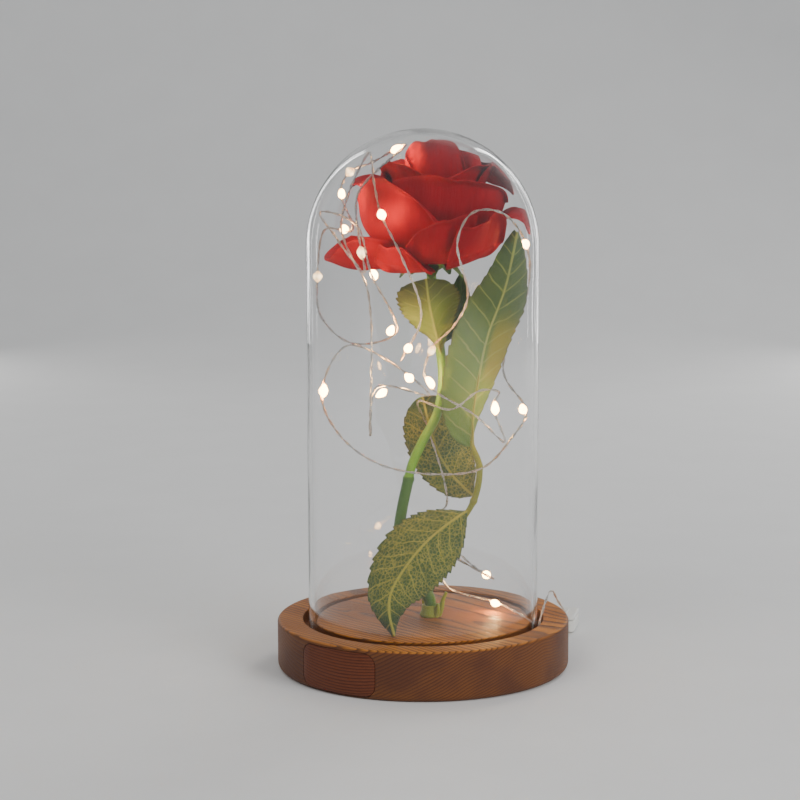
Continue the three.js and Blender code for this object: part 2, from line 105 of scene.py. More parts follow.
# %% Meshes and pieces
def mesh_object(name, points, faces, values=None, uv=None):
    """An object at the origin whose mesh holds the points, given in millimetres, as metres. Each face is an
    array of point numbers: four of them, or more where it closes an end."""
    mesh = bpy.data.meshes.new(name)
    mesh.from_pydata(points * MM, [], [face.tolist() for face in faces])
    for key, array in (values or {}).items():
        numbers = mesh.attributes.new(key, "FLOAT", "POINT")
        numbers.data.foreach_set("value", np.ravel(array).astype(np.float32))
    if uv is not None:
        corner = np.empty(len(mesh.loops), dtype=np.int32)
        mesh.loops.foreach_get("vertex_index", corner)
        mesh.uv_layers.new(name="cloth").data.foreach_set("uv", uv[corner].astype(np.float32).ravel())
    obj = bpy.data.objects.new(name, mesh)
    bpy.context.scene.collection.objects.link(obj)
    return obj


def finished(obj, material, nodes, sharp=40.0):
    """Smooth the faces, keep edges above an angle sharp, and hang the piece on the frame."""
    mesh = obj.data
    mesh.validate()
    mesh.polygons.foreach_set("use_smooth", np.ones(len(mesh.polygons), dtype=bool))
    mesh.set_sharp_from_angle(angle=math.radians(sharp))
    mesh.materials.clear()
    mesh.materials.append(material)
    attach(obj, "root")
    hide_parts(*nodes)
    return obj


def merged(obj):
    """Join the doubled points of seams and poles and turn every face outward."""
    soup = bmesh.new()
    soup.from_mesh(obj.data)
    bmesh.ops.remove_doubles(soup, verts=soup.verts, dist=1e-6)
    bmesh.ops.dissolve_degenerate(soup, edges=soup.edges, dist=1e-7)
    bmesh.ops.recalc_face_normals(soup, faces=soup.faces)
    soup.to_mesh(obj.data)
    soup.free()
    return obj


print("mesh tools ready")

# %% Turned shapes
def turned(profile, sides):
    """A profile of (radius, height) points turned about Z: x = r cos a, y = r sin a, z = h."""
    profile = np.asarray(profile, float)
    angle = np.linspace(0, 2 * np.pi, sides, endpoint=False)
    radius, height = profile[:, :1], profile[:, 1:]
    points = np.stack([radius * np.cos(angle), radius * np.sin(angle), height + 0 * angle], axis=-1)
    return points.reshape(-1, 3), quads(len(profile), sides, wrapped=True)


def arc(cx, cz, radius, start, end, steps):
    """The points of an arc in the plane of radius and height, between two angles in degrees."""
    angle = np.radians(np.linspace(start, end, steps))
    return np.stack([cx + radius * np.cos(angle), cz + radius * np.sin(angle)], axis=-1)


print("a quarter circle in 5 points ends at", arc(0, 0, 1, 0, 90, 5)[-1].round(3))

# %% [markdown]
# The stalks, the ribs of the leaves and the light string all follow paths: smooth curves through a few
# points. Blender has curve objects for this, but a path as an array of points can also be measured, spaced
# evenly and used by other formulas, so it is worked out here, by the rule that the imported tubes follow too.

# %% Smooth paths
ASKEW = np.array([0.31, 0.84, 0.44])
FINE_STEPS = 4000


def through(points, at):
    """The smooth curve through the points, read at span numbers such as 2.5, halfway from the third point to
    the fourth. Each span is a cubic whose end slopes come from its neighbours, weighted by the square roots
    of the distances."""
    points = np.asarray(points, float)
    points = np.concatenate([[2 * points[0] - points[1]], points, [2 * points[-1] - points[-2]]])
    at = np.asarray(at, float)
    span = np.clip(at.astype(int), 0, len(points) - 4)
    t = (at - span)[:, None]
    a, b, c, d = (points[span + k] for k in range(4))
    pairs = ((a, b), (b, c), (c, d))
    first, middle, last = (np.sqrt(np.linalg.norm(q - p, axis=1))[:, None] for p, q in pairs)
    leave = ((b - a) / first - (c - a) / (first + middle) + (c - b) / middle) * middle
    arrive = ((c - b) / middle - (d - b) / (middle + last) + (d - c) / last) * middle
    return b + leave * t + (3 * (c - b) - 2 * leave - arrive) * t**2 + (2 * (b - c) + leave + arrive) * t**3


def lengths(line):
    """How far along a path each of its points is."""
    return np.concatenate([[0], np.cumsum(np.linalg.norm(np.diff(line, axis=0), axis=1))])


def at_lengths(line, length, want):
    """The points of a path at some distances along it."""
    return np.stack([np.interp(want, length, line[:, k]) for k in range(3)], axis=-1)


def even(points, count):
    """The curve through the points again, as count points the same distance apart."""
    fine = through(points, np.linspace(0, len(points) - 1, FINE_STEPS))
    length = lengths(fine)
    return at_lengths(fine, length, np.linspace(0, length[-1], count))


def across(line):
    """The direction of a path at each point and two directions across it. The two come from one fixed askew
    direction, and are then turned back by the sum of the small turns that they make from point to point, so
    they run along the path without twist."""
    tangent = unit(np.gradient(line, axis=0))
    one = unit(np.cross(tangent, ASKEW))
    two = np.cross(tangent, one)
    step = np.arctan2((one[1:] * two[:-1]).sum(1), (one[1:] * one[:-1]).sum(1))
    back = -np.concatenate([[0], np.cumsum(step)])[:, None]
    return tangent, one * np.cos(back) + two * np.sin(back), two * np.cos(back) - one * np.sin(back)


print("a bent path in 3 even points:", even([[0, 0, 0], [1, 0, 0], [1, 1, 0]], 3).round(2).tolist())

# %% Tubes, sheets and joined shapes
def tube(line, radius, sides):
    """A round section carried along a path: p + r (cos a one + sin a two). Flat faces close its ends."""
    _, one, two = across(line)
    angle = np.linspace(0, 2 * np.pi, sides, endpoint=False)
    radius = np.broadcast_to(radius, len(line))[:, None, None]
    ring = np.cos(angle)[None, :, None] * one[:, None] + np.sin(angle)[None, :, None] * two[:, None]
    points = (line[:, None] + radius * ring).reshape(-1, 3)
    start = np.arange(sides)[::-1]
    return points, [*quads(len(line), sides, wrapped=True), start, start[::-1] + len(points) - sides]


def cloth(points, thick):
    """A sheet with two faces, each half the thickness off the middle surface along its normal, and a rim."""
    rows, cols = points.shape[:2]
    normal = unit(np.cross(np.gradient(points, axis=1), np.gradient(points, axis=0))) * thick / 2
    count = rows * cols
    front = quads(rows, cols)
    index = np.arange(count).reshape(rows, cols)
    ring = np.concatenate([index[0, :-1], index[:-1, -1], index[-1, :0:-1], index[:0:-1, 0]])
    after = np.roll(ring, -1)
    rim = np.stack([after, ring, ring + count, after + count], axis=-1)
    both = np.concatenate([(points + normal).reshape(-1, 3), (points - normal).reshape(-1, 3)])
    return both, np.concatenate([front, front[:, ::-1] + count, rim])


def moved(shape, by):
    """The shape's points shifted, and its faces as they are."""
    return shape[0] + np.asarray(by, float), shape[1]


def joined(*shapes):
    """Several closed shapes as one array of points and one list of faces."""
    starts = np.cumsum([0] + [len(points) for points, _ in shapes])
    faces = [face + start for (_, part), start in zip(shapes, starts) for face in part]
    return np.concatenate([points for points, _ in shapes]), faces


def compass(degrees):
    """The level direction at an angle round the upright axis, and the one to its left."""
    a = math.radians(degrees)
    return np.array([math.cos(a), math.sin(a), 0]), np.array([-math.sin(a), math.cos(a), 0])


print("tools ready")

# %% [markdown]
# A material is a small network of nodes. Written as formulas it is easier to read, so a class wraps a
# socket and gives it the usual operators: adding two of them adds a Math node to the network. Colours are
# mixed by Mix nodes, because a Math node would turn them grey. Every other node comes from one method.

# %% Materials as formulas
class Socket:
    """A number in a material's network, which can be used in a formula."""

    def __init__(self, paint, socket):
        self.paint, self.socket = paint, socket

    def math(self, operation, *others):
        """A Math node on this number and the others."""
        return self.paint.node("ShaderNodeMath", {"operation": operation}, dict(enumerate((self, *others))))

    def reflected(self, operation, other):
        """The same with this number second, as in 1 - mask."""
        return self.paint.node("ShaderNodeMath", {"operation": operation}, {0: other, 1: self})

    def __add__(self, other):
        return self.math("ADD", other)

    def __sub__(self, other):
        return self.math("SUBTRACT", other)

    def __mul__(self, other):
        return self.math("MULTIPLY", other)

    def __truediv__(self, other):
        return self.math("DIVIDE", other)

    def __pow__(self, other):
        return self.math("POWER", other)

    def __rsub__(self, other):
        return self.reflected("SUBTRACT", other)

    __radd__, __rmul__ = __add__, __mul__

    def step(self, start, end):
        """0 at start and 1 at end with soft ends, and the other way round if end is below start."""
        sockets = {"Value": self, "From Min": min(start, end), "From Max": max(start, end)}
        sockets |= {"To Min": float(start > end), "To Max": float(start <= end)}
        return self.paint.node("ShaderNodeMapRange", {"interpolation_type": "SMOOTHSTEP"}, sockets)


class Paint:
    """One material and its network."""

    def __init__(self, name):
        self.material = bpy.data.materials.new(name)
        self.material.use_nodes = True
        self.tree = self.material.node_tree
        self.tree.nodes.clear()

    def node(self, kind, settings=None, sockets=None, out=0):
        """Adds a node: its settings first, then the values or links of its sockets."""
        made = self.tree.nodes.new(kind)
        for key, value in (settings or {}).items():
            setattr(made, key, value)
        for key, value in (sockets or {}).items():
            if isinstance(value, Socket):
                self.tree.links.new(value.socket, made.inputs[key])
            else:
                made.inputs[key].default_value = value
        return Socket(self, made.outputs[out])

    def place(self, stretch=(1, 1, 1), turned=(0, 0, 0), centre=(0, 0, 0)):
        """Object coordinates in millimetres, moved to a centre, turned and stretched."""
        coords = self.node("ShaderNodeTexCoord", out="Object")
        sockets = {0: coords, 1: Vector(centre) * MM}
        shifted = self.node("ShaderNodeVectorMath", {"operation": "SUBTRACT"}, sockets)
        sockets = {"Vector": shifted, "Rotation": turned, "Scale": (1 / MM,) * 3}
        turn = self.node("ShaderNodeMapping", None, sockets)
        return self.node("ShaderNodeVectorMath", {"operation": "MULTIPLY"}, {0: turn, 1: stretch})

    def cloth_place(self, stretch=(1, 1, 1)):
        """The sheet's own map: millimetres across and millimetres along."""
        uv = self.node("ShaderNodeUVMap", {"uv_map": "cloth"})
        return self.node("ShaderNodeVectorMath", {"operation": "MULTIPLY"}, {0: uv, 1: stretch})

    def value(self, name):
        """A number that the mesh carries at its points."""
        return self.node("ShaderNodeAttribute", {"attribute_name": name}, out="Fac")

    def parts(self, vector):
        """The three numbers of a vector."""
        split = self.node("ShaderNodeSeparateXYZ", None, {0: vector}).socket.node
        return [Socket(self, out) for out in split.outputs]

    def noise(self, place, detail=2.0, rough=0.5):
        """Cloudy numbers about a half. The place is stretched to set the size of the clouds."""
        sockets = {"Vector": place, "Scale": 1.0, "Detail": detail, "Roughness": rough}
        return self.node("ShaderNodeTexNoise", None, sockets)

    def cells(self, place, scale, randomness):
        """The distance from the edges of a net of uneven cells."""
        sockets = {"Vector": place, "Scale": scale, "Randomness": randomness}
        return self.node("ShaderNodeTexVoronoi", {"feature": "DISTANCE_TO_EDGE"}, sockets)

    def mix(self, factor, a, b):
        """Colour a where the factor is 0, and b where it is 1."""
        a, b = ((*c, 1.0) if isinstance(c, tuple) else c for c in (a, b))
        return self.node("ShaderNodeMix", {"data_type": "RGBA"}, {0: factor, 6: a, 7: b}, out=2)

    def bump(self, height, depth):
        """A normal from a height between 0 and 1, for a relief of that depth in millimetres."""
        return self.node("ShaderNodeBump", None, {"Height": height, "Distance": depth * MM, "Strength": 1.0})

    def shader(self, **sockets):
        """The surface shader. Words are socket names with _ for a space."""
        named = {key.replace("_", " "): value for key, value in sockets.items()}
        for key in ("Base Color", "Emission Color"):
            if isinstance(named.get(key), tuple):
                named[key] = (*named[key], 1.0)
        return self.node("ShaderNodeBsdfPrincipled", None, named)

    def translucent(self, colour):
        """A surface that passes on the light from behind it."""
        return self.node("ShaderNodeBsdfTranslucent", None, {"Color": (*colour, 1.0)})

    def blend(self, factor, first, second):
        """The first surface where the factor is 0, and the second where it is 1."""
        return self.node("ShaderNodeMixShader", None, {0: factor, 1: first, 2: second})

    def done(self, surface):
        """The finished material, with the surface at its output."""
        out = self.tree.nodes.new("ShaderNodeOutputMaterial")
        self.tree.links.new(surface.socket, out.inputs["Surface"])
        return self.material


print("formulas ready")

# %% [markdown]
# The light string is a pair of thin bright wires, loosely twisted, which leaves the battery case behind the
# base, climbs over the rim, dips under the foot of the glass and then wanders round the rose. Its route is
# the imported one: the wire is a cord with a real length, so it is made before the other pieces. One tube
# with a twist painted on it would be simpler, but the pair of strands is what catches the light.

# %% Route of the light string
LIGHT_ROUTE = np.array([
    [63.8, 55.7, 3.2], [62.5, 50, 2], [67, 36.5, 3], [71, 27.5, 15.5], [66, 19, 26.5], [62.5, 9, 33.5],
    [58, -5, 29.5], [55.2, -11.7, 21.5], [54.8, -11.6, 17.6], [52.6, -11.2, 16.8], [50.6, -10.7, 17.6],
    [50.5, -10.7, 23.4], [48, -10.2, 25.4], [36.5, 8, 28], [11.5, 13, 35.5], [7.5, 7, 53], [33.5, -2, 42.5],
    [21.5, 26, 45.5], [4, 9, 70], [11.5, -4, 80], [2.5, 5, 114.5], [-2, -8, 129.5], [13, -15, 126.5],
    [26.5, -19, 136], [35, -22, 135.5], [32, -24, 130], [37.5, -24, 112.5], [24.5, -19, 124],
    [1.5, -10, 139], [3.5, -12, 154], [14, -25, 167], [20, -38, 182.5], [15, -47.5, 207.5],
    [21, -43, 219.5], [34.5, -31, 219.5], [48, -10, 203], [51, 2, 183.5], [38, -2, 143.5],
    [47.5, -16, 126.5], [40, -31, 115.5], [26, -43.5, 103.5], [4, -49.5, 102], [-20, -46, 106],
    [-38, -33, 117.5], [-46.5, -18, 135.5], [-34, -23, 158], [3, -13, 133], [-21.5, -22, 138],
    [-24.5, -24, 115.5], [-25.5, -38, 186.5], [-38, -32.5, 207], [-47.5, -6, 218.5], [-30, -27, 213.5],
    [-23.5, -43, 193.5], [-13, -17, 162.5], [-33, -16, 158], [-46.5, -14, 169.5], [-49, -8, 188],
    [-45.5, -10, 210], [-32, -24.5, 211.5], [-38, -8, 228], [-34, -3, 237], [-24, -8, 241],
    [-7.5, -11, 249.3], [-29.5, -26, 227], [-26.5, -38, 193], [-37, -26, 213], [-24.5, -11, 245.5],
    [-22, -28.5, 233], [-19, -37, 219.5], [-10, -46.5, 201.5], [-1, -36, 173.5], [-10.5, -16, 149.5],
])
LAMPS_ON = [13, 16, 25, 28, 29, 35, 38, 44, 47, 53, 54, 57, 60, 61, 69]  # the route's points, from 0
LAMPS_BEFORE = [46, 59, 63, 65, 72]  # points that a lamp hangs a little before
BEFORE, LAMP_SPAN, ROUTE_STEPS = 0.3, 0.28, 20000
lamp_spots = np.sort(np.concatenate([LAMPS_ON, np.array(LAMPS_BEFORE) - BEFORE]))
fine_route = through(LIGHT_ROUTE, np.linspace(0, lamp_spots[-1] + LAMP_SPAN, ROUTE_STEPS))
route_length = lengths(fine_route)
print("route", round(route_length[-1] * MM, 3), "m,", len(lamp_spots), "lamps")

# %% The pair of wires
STRAND_RADIUS, STRAND_APART, STRAND_SIDES, TWIST_PITCH, WIRE_STEP = 0.28, 0.31, 6, 14.0, 0.9
stations = np.linspace(0, route_length[-1], int(route_length[-1] / WIRE_STEP))
wire_line = at_lengths(fine_route, route_length, stations)
_, beside, above = across(wire_line)
phase = (2 * np.pi * stations / TWIST_PITCH)[:, None]
apart = STRAND_APART * (beside * np.cos(phase) + above * np.sin(phase))
strands = [tube(wire_line + sign * apart, STRAND_RADIUS, STRAND_SIDES) for sign in (1, -1)]
wire = mesh_object("light_wire_pair", *joined(*strands))
print("wire of", len(wire.data.polygons), "faces")

# %% [markdown]
# Each lamp is a drop of clear resin hardened round a speck of light on the wire. A ball squashed to size
# would be too even: a drop is longer than it is wide and a little lopsided, so the outline is a turned sine
# with a slow random swell, laid along the wire.

# %% Lamp drops
DROP_LENGTH, DROP_RADIUS, DROP_ROWS, DROP_SIDES = 6.2, 1.85, 21, 18
DROP_FULLNESS, DROP_SWELL, DROP_BULGE = 0.65, 0.1, 0.12
rng = np.random.default_rng(11)
before, after = (through(LIGHT_ROUTE, lamp_spots + shift) for shift in (-LAMP_SPAN, LAMP_SPAN))
lamp_centres, lamp_ways = (before + after) / 2, unit(after - before)


def drop(centre, way, rng):
    """A turned drop laid along the wire's direction: radius R sin(pi t)^f (1 + slow waves), f its fullness,
    times 1 + b sin(a + a0) round it, which bulges it to one side."""
    t = np.linspace(0, 1, DROP_ROWS)
    length = DROP_LENGTH * rng.uniform(0.85, 1.1)
    radius = DROP_RADIUS * np.sin(np.pi * t) ** DROP_FULLNESS * (1 + waves(rng, t, 2, 4.0, DROP_SWELL))
    profile = np.stack([radius, (t - 0.5) * length], axis=-1)
    profile[[0, -1], 0] = 0
    points, faces = turned(profile, DROP_SIDES)
    side = unit(np.cross(way, ASKEW))
    axes = np.stack([side, np.cross(way, side), way])
    bulge = 1 + DROP_BULGE * np.sin(np.arctan2(points[:, 1], points[:, 0]) + rng.uniform(0, 6))
    points[:, :2] *= bulge[:, None]
    return points @ axes + centre, faces, np.repeat(t, DROP_SIDES)


lamps = []
for number, (centre, way) in enumerate(zip(lamp_centres, lamp_ways), start=1):
    points, faces, t = drop(centre, way, rng)
    lamps.append(merged(mesh_object(f"lamp_{number:02d}_drop", points, faces, {"along": t})))
print(len(lamps), "drops")

# %% [markdown]
# The battery case lies on the table behind the base: a moulded body, a lid with grip ribs, and a slide
# switch. A box with hard edges would look cut from a block, so each part is a stack of rounded rectangles
# whose corners and edges are soft, the way a mould has to make them.

# %% Moulded parts
def moulded(size, low, high, corner=3.0, soft=1.0, steps=5, turns=8):
    """Rounded rectangles stacked in Z, drawn in by s (1 - cos a) over the soft edges, a from 0 to 90."""
    angle = np.linspace(0, np.pi / 2, steps)
    inset = np.concatenate([soft * (1 - np.sin(angle)), soft * (1 - np.cos(angle))])
    height = np.concatenate([low + soft * (1 - np.cos(angle)), high - soft + soft * np.sin(angle)])
    turn = np.radians(np.arange(4)[:, None] * 90 + np.linspace(0, 90, turns)).ravel()
    signs = np.array([[1, 1], [-1, 1], [-1, -1], [1, -1]]).repeat(turns, axis=0)
    centres = signs * (np.array(size) / 2 - corner)
    outline = centres + (corner - inset)[:, None, None] * np.stack([np.cos(turn), np.sin(turn)], axis=-1)
    level = np.broadcast_to(height[:, None, None], (*outline.shape[:2], 1))
    points = np.concatenate([outline, level], axis=-1)
    cap = np.arange(outline.shape[1])
    faces = [*quads(*outline.shape[:2], wrapped=True), cap[::-1], cap + len(height) * len(cap) - len(cap)]
    return points.reshape(-1, 3), faces


print("a moulded block has", len(moulded((2, 2), 0, 2, 0.5, 0.2)[1]), "faces")

# %% Battery case
CASE_PLACE, CASE_TURN = np.array([55.0, 72.0, 0.0]), math.radians(-12)
CASE_SIZE, CASE_BODY, CASE_LID, CASE_GAP = (50.0, 22.0), 6.4, 2.2, 0.3
FOOT_HEIGHT, BODY_LOW, SWITCH_X, SUNK = 0.8, 0.5, -14.0, 1.2
OUTLET_X, OUTLET_LENGTH, OUTLET_BITE = 12.0, 3.0, 0.3
lid_low = CASE_BODY + CASE_GAP
lid_top = lid_low + CASE_LID
knob_low = lid_top + CASE_GAP


def bar(at, size, low, high, corner, soft):
    """A small moulded bar at a place on the case."""
    return moved(moulded(size, low, high, corner, soft), (*at, 0))


def on_case(name, *shapes):
    """Join the shapes, turn them by the case's angle and put them in their place."""
    points, faces = joined(*shapes)
    c, s = math.cos(CASE_TURN), math.sin(CASE_TURN)
    spun = points @ np.array([[c, s, 0], [-s, c, 0], [0, 0, 1]])
    return merged(mesh_object(name, spun + CASE_PLACE, faces))


# The outlet's nose and four feet on the body, grip ribs and two rails on the lid, and a ridged knob.
nose = turned([[0, 0], [1.5, 0], [1.9, 0.4], [2.2, OUTLET_LENGTH], [0, OUTLET_LENGTH]], 24)
nose = nose[0] @ np.array([[1, 0, 0], [0, 0, 1], [0, 1, 0]]), nose[1]
nose = moved(nose, (OUTLET_X, -CASE_SIZE[1] / 2 - OUTLET_LENGTH + OUTLET_BITE, CASE_BODY / 2))
feet = [bar((x, y), (5, 5), 0, FOOT_HEIGHT, 2.4, 0.3) for x in (-20, 20) for y in (-7, 7)]
ribs = [bar((x, 0), (1.1, 9), lid_low + SUNK, lid_top + 0.5, 0.5, 0.3) for x in (14, 16, 18, 20)]
rails = [bar((SWITCH_X, y), (11, 1), lid_low + SUNK, lid_top + 0.4, 0.4, 0.3) for y in (-3.2, 3.2)]
ridges = [bar((SWITCH_X + x, 0), (0.6, 3.4), knob_low + 0.8, knob_low + 1.9, 0.25, 0.2)
          for x in (-1.6, 0, 1.6)]
knob = bar((SWITCH_X, 0), (7, 4), knob_low, knob_low + 1.4, 0.8, 0.4)
case_parts = [
    on_case("battery_case_body", moulded(CASE_SIZE, BODY_LOW, CASE_BODY), nose, *feet),
    on_case("battery_case_lid", moulded(CASE_SIZE, lid_low, lid_top), *ribs, *rails),
    on_case("battery_case_knob", knob, *ridges),
]
print("case of", sum(len(part.data.polygons) for part in case_parts), "faces")

# %% [markdown]
# The base is one disc of wood, turned with a soft lower edge, an eased upper edge and a square groove for
# the glass. A battery door, cut from redder wood, fills a rounded pocket in its side. The disc is a turned
# profile with plenty of sides; the pocket, the notch for the wire and the hole for the stem are cut out of
# it, and the door is what the same disc has in common with a slightly smaller plug, so that its face
# follows the round.

# %% Base profile
BASE_RADIUS, BASE_HEIGHT, BASE_SIDES = 70.0, 23.5, 256
GROOVE_INNER, GROOVE_OUTER, GROOVE_FLOOR = 50.8, 57.8, 18.0
FOOT_ROUND, TOP_ROUND, OUTER_LIP, INNER_LIP = 3.0, 1.5, 0.5, 0.6
base_profile = np.concatenate([
    [[0, 0], [40, 0]],
    arc(BASE_RADIUS - FOOT_ROUND, FOOT_ROUND, FOOT_ROUND, -90, 0, 9),
    arc(BASE_RADIUS - TOP_ROUND, BASE_HEIGHT - TOP_ROUND, TOP_ROUND, 0, 90, 7),
    arc(GROOVE_OUTER + OUTER_LIP, BASE_HEIGHT - OUTER_LIP, OUTER_LIP, 90, 180, 5),
    [[GROOVE_OUTER, GROOVE_FLOOR], [GROOVE_INNER, GROOVE_FLOOR]],
    arc(GROOVE_INNER - INNER_LIP, BASE_HEIGHT - INNER_LIP, INNER_LIP, 0, 90, 5),
    [[30, BASE_HEIGHT], [0, BASE_HEIGHT]],
])
print("profile of", len(base_profile), "points")

# %% Plugs and cuts
DOOR = dict(facing=-126, width=41.6, height=21.0, middle=11.5, corner=6.0, depth=8.0, gap=0.3)
NOTCH = dict(facing=-12, radius=54.3, size=(6.8, 2.4), low=16.0, high=19.0, corner=0.4)
STEM_X, HOLE_RADIUS, HOLE_FLOOR = 3.7, 2.8, 15.5
HARD_EDGE, THROUGH = 0.01, 5


def side_plug(gap):
    """A rounded rectangle pushed out through the side of the disc, smaller by the gap all round."""
    size = (DOOR["height"] - 2 * gap, DOOR["width"] - 2 * gap)
    inner = BASE_RADIUS - DOOR["depth"] + gap
    points, faces = moulded(size, inner, BASE_RADIUS + THROUGH, DOOR["corner"] - gap, HARD_EDGE, 2, 10)
    out, side = compass(DOOR["facing"])
    up = np.array([0, 0, 1])
    return merged(mesh_object("plug", points @ np.stack([-up, side, out]) + up * DOOR["middle"], faces))


def applied(obj):
    """Make what the modifiers give the object's own mesh."""
    mesh = bpy.data.meshes.new_from_object(obj.evaluated_get(bpy.context.evaluated_depsgraph_get()))
    obj.modifiers.clear()
    obj.data = mesh
    return obj


def cut(obj, operation, *cutters):
    """Boolean cuts, applied at once; the cutters are removed."""
    for cutter in cutters:
        step = obj.modifiers.new(cutter.name, "BOOLEAN")
        step.object, step.operation, step.solver = cutter, operation, "EXACT"
    applied(obj)
    for cutter in cutters:
        bpy.data.objects.remove(cutter)
    return obj


def bevelled(obj, width, angle=50.0):
    """A small bevel on the edges sharper than an angle, applied at once."""
    step = obj.modifiers.new("bevel", "BEVEL")
    step.width, step.segments = width * MM, 2
    step.limit_method, step.angle_limit = "ANGLE", math.radians(angle)
    return applied(obj)


print("cutting tools ready")

# %% Base and door
base = merged(mesh_object("wooden_base_turned", *turned(base_profile, BASE_SIDES)))
door = merged(mesh_object("battery_door_plug", *turned(base_profile, BASE_SIDES)))
pocket, plug = side_plug(0.0), side_plug(DOOR["gap"])
hole_top = BASE_HEIGHT + THROUGH
hole = turned([[0, HOLE_FLOOR], [HOLE_RADIUS, HOLE_FLOOR], [HOLE_RADIUS, hole_top], [0, hole_top]], 48)
hole = merged(mesh_object("hole", *moved(hole, (STEM_X, 0, 0))))
notch = moulded(NOTCH["size"], NOTCH["low"], NOTCH["high"], NOTCH["corner"], HARD_EDGE, 2, 3)
notch = moved(notch, (NOTCH["radius"], 0, 0))
notch_turn = Matrix.Rotation(math.radians(NOTCH["facing"]), 3, "Z")
notch = merged(mesh_object("notch", notch[0] @ np.array(notch_turn).T, notch[1]))
cut(base, "DIFFERENCE", pocket, hole, notch)
cut(door, "INTERSECT", plug)
bevelled(door, 0.35)
print("base of", len(base.data.polygons), "faces, door of", len(door.data.polygons))

# %% [markdown]
# The dome is blown glass: a straight tube that closes in half a ball, open below, with a fire-polished foot
# that stands in the groove. A single skin would look like a soap bubble, so both walls are real, because
# the light bends at each of them.

# %% Glass dome
GLASS_RADIUS, GLASS_WALL, GLASS_TOP_CENTRE, GLASS_FOOT, GLASS_SIDES = 55.0, 2.5, 202.0, 18.3, 160
glass_in, bead = GLASS_RADIUS - GLASS_WALL, GLASS_WALL / 2
upright = np.linspace(GLASS_FOOT + bead, GLASS_TOP_CENTRE, 22)[1:-1]
dome_profile = np.concatenate([
    arc(glass_in + bead, GLASS_FOOT + bead, bead, -180, 0, 11),
    np.stack([0 * upright + GLASS_RADIUS, upright], axis=-1),
    arc(0, GLASS_TOP_CENTRE, GLASS_RADIUS, 0, 90, 40),
    arc(0, GLASS_TOP_CENTRE, glass_in, 90, 0, 40),
    np.stack([0 * upright + glass_in, upright[::-1]], axis=-1),
    [[glass_in, GLASS_FOOT + bead]],
])
dome_profile[np.abs(dome_profile[:, 0]) < 1e-6, 0] = 0
dome = merged(mesh_object("glass_dome_blown", *turned(dome_profile, GLASS_SIDES)))
print("dome of", len(dome.data.polygons), "faces")

# %% [markdown]
# The stem is a moulded plastic rod in two lengths: the thin upper one is pushed into the thicker lower one,
# and the lip of that joint shows as a ring. The branch is thinner and knotty, carries three leaves, and
# runs on as the raised midrib of the highest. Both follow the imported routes, and the radius along them is a
# formula: a constant, plus a swell at the joint or at each knot. A plain tube would keep one thickness.

# %% Stem
STEM_ROUTE = [
    [3.7, 0, 16], [3.7, 0, 24], [3.5, 0, 30.5], [0, 0, 38], [-6, 0, 48], [-10.5, 0, 58], [-11.3, 0, 66],
    [-10, 0, 76], [-7, 0, 90], [-5, 0, 98], [0, 0, 109], [6.8, 0, 122], [9.4, 0, 138], [8.2, 0, 154],
    [5.5, 0, 172], [4, 0, 190.3],
]
JOINT_HEIGHT, STEM_RADIUS = 92.0, 2.25
rng = np.random.default_rng(5)
stem_line = even(STEM_ROUTE, 260)
height = stem_line[:, 2]
lower = 1 - ease((height - JOINT_HEIGHT) / 0.9 + 0.5)
lip = np.exp(-(((height - JOINT_HEIGHT + 1.2) / 1.1) ** 2))
stout = ease((height - 29) / 5) * (1 - ease((height - 40) / 40))
stem_radius = STEM_RADIUS + 0.4 * lower + 0.35 * stout + 0.22 * lip + waves(rng, height, 4, 0.05, 0.05)
stem = mesh_object("main_stem_rod", *tube(stem_line, stem_radius, 28))
print("stem radius from", round(stem_radius.min(), 2), "to", round(stem_radius.max(), 2), "mm")

# %% Branch
BRANCH_ROUTE = [
    [-9.4, -0.9, 61.8], [4, -4.5, 63], [16, -8, 70], [23, -10, 80], [25.8, -11, 89], [26.4, -11, 99],
    [23.2, -11, 108.5], [23.3, -11.7, 114], [23.6, -12.1, 124], [26.2, -13.5, 142.5],
]
BRANCH_RADIUS, KNOTS, KNOT_LENGTH = 1.45, (0.2, 0.31, 0.41, 0.57), 0.012
MIDRIB_FROM, THINS_FROM = 104, 116
branch_line = even(BRANCH_ROUTE, 240)
t, height = np.linspace(0, 1, len(branch_line)), branch_line[:, 2]
knots = sum(np.exp(-(((t - knot) / KNOT_LENGTH) ** 2)) for knot in KNOTS)
branch_radius = BRANCH_RADIUS + 0.38 * knots + 0.5 * ease(1 - t / 0.08) + waves(rng, t, 5, 13.0, 0.08)
branch_radius *= 1 - 0.6 * ease((height - MIDRIB_FROM) / 12) - 0.2 * ease((height - THINS_FROM) / 26)
branch = mesh_object("branch_stem_rod", *tube(branch_line, branch_radius, 20))
print("branch radius from", round(branch_radius.min(), 2), "to", round(branch_radius.max(), 2), "mm")

# %% [markdown]
# A short collar with three blunt prongs hides the hole where the stem enters the base. Under the flower
# sits a green cup, which ends in a low dome that the petals are glued on. Both are turned profiles, and the
# prongs are short tapering tubes. A boolean could weld these into one skin, but it isn't needed where one
# shape simply stands in another.

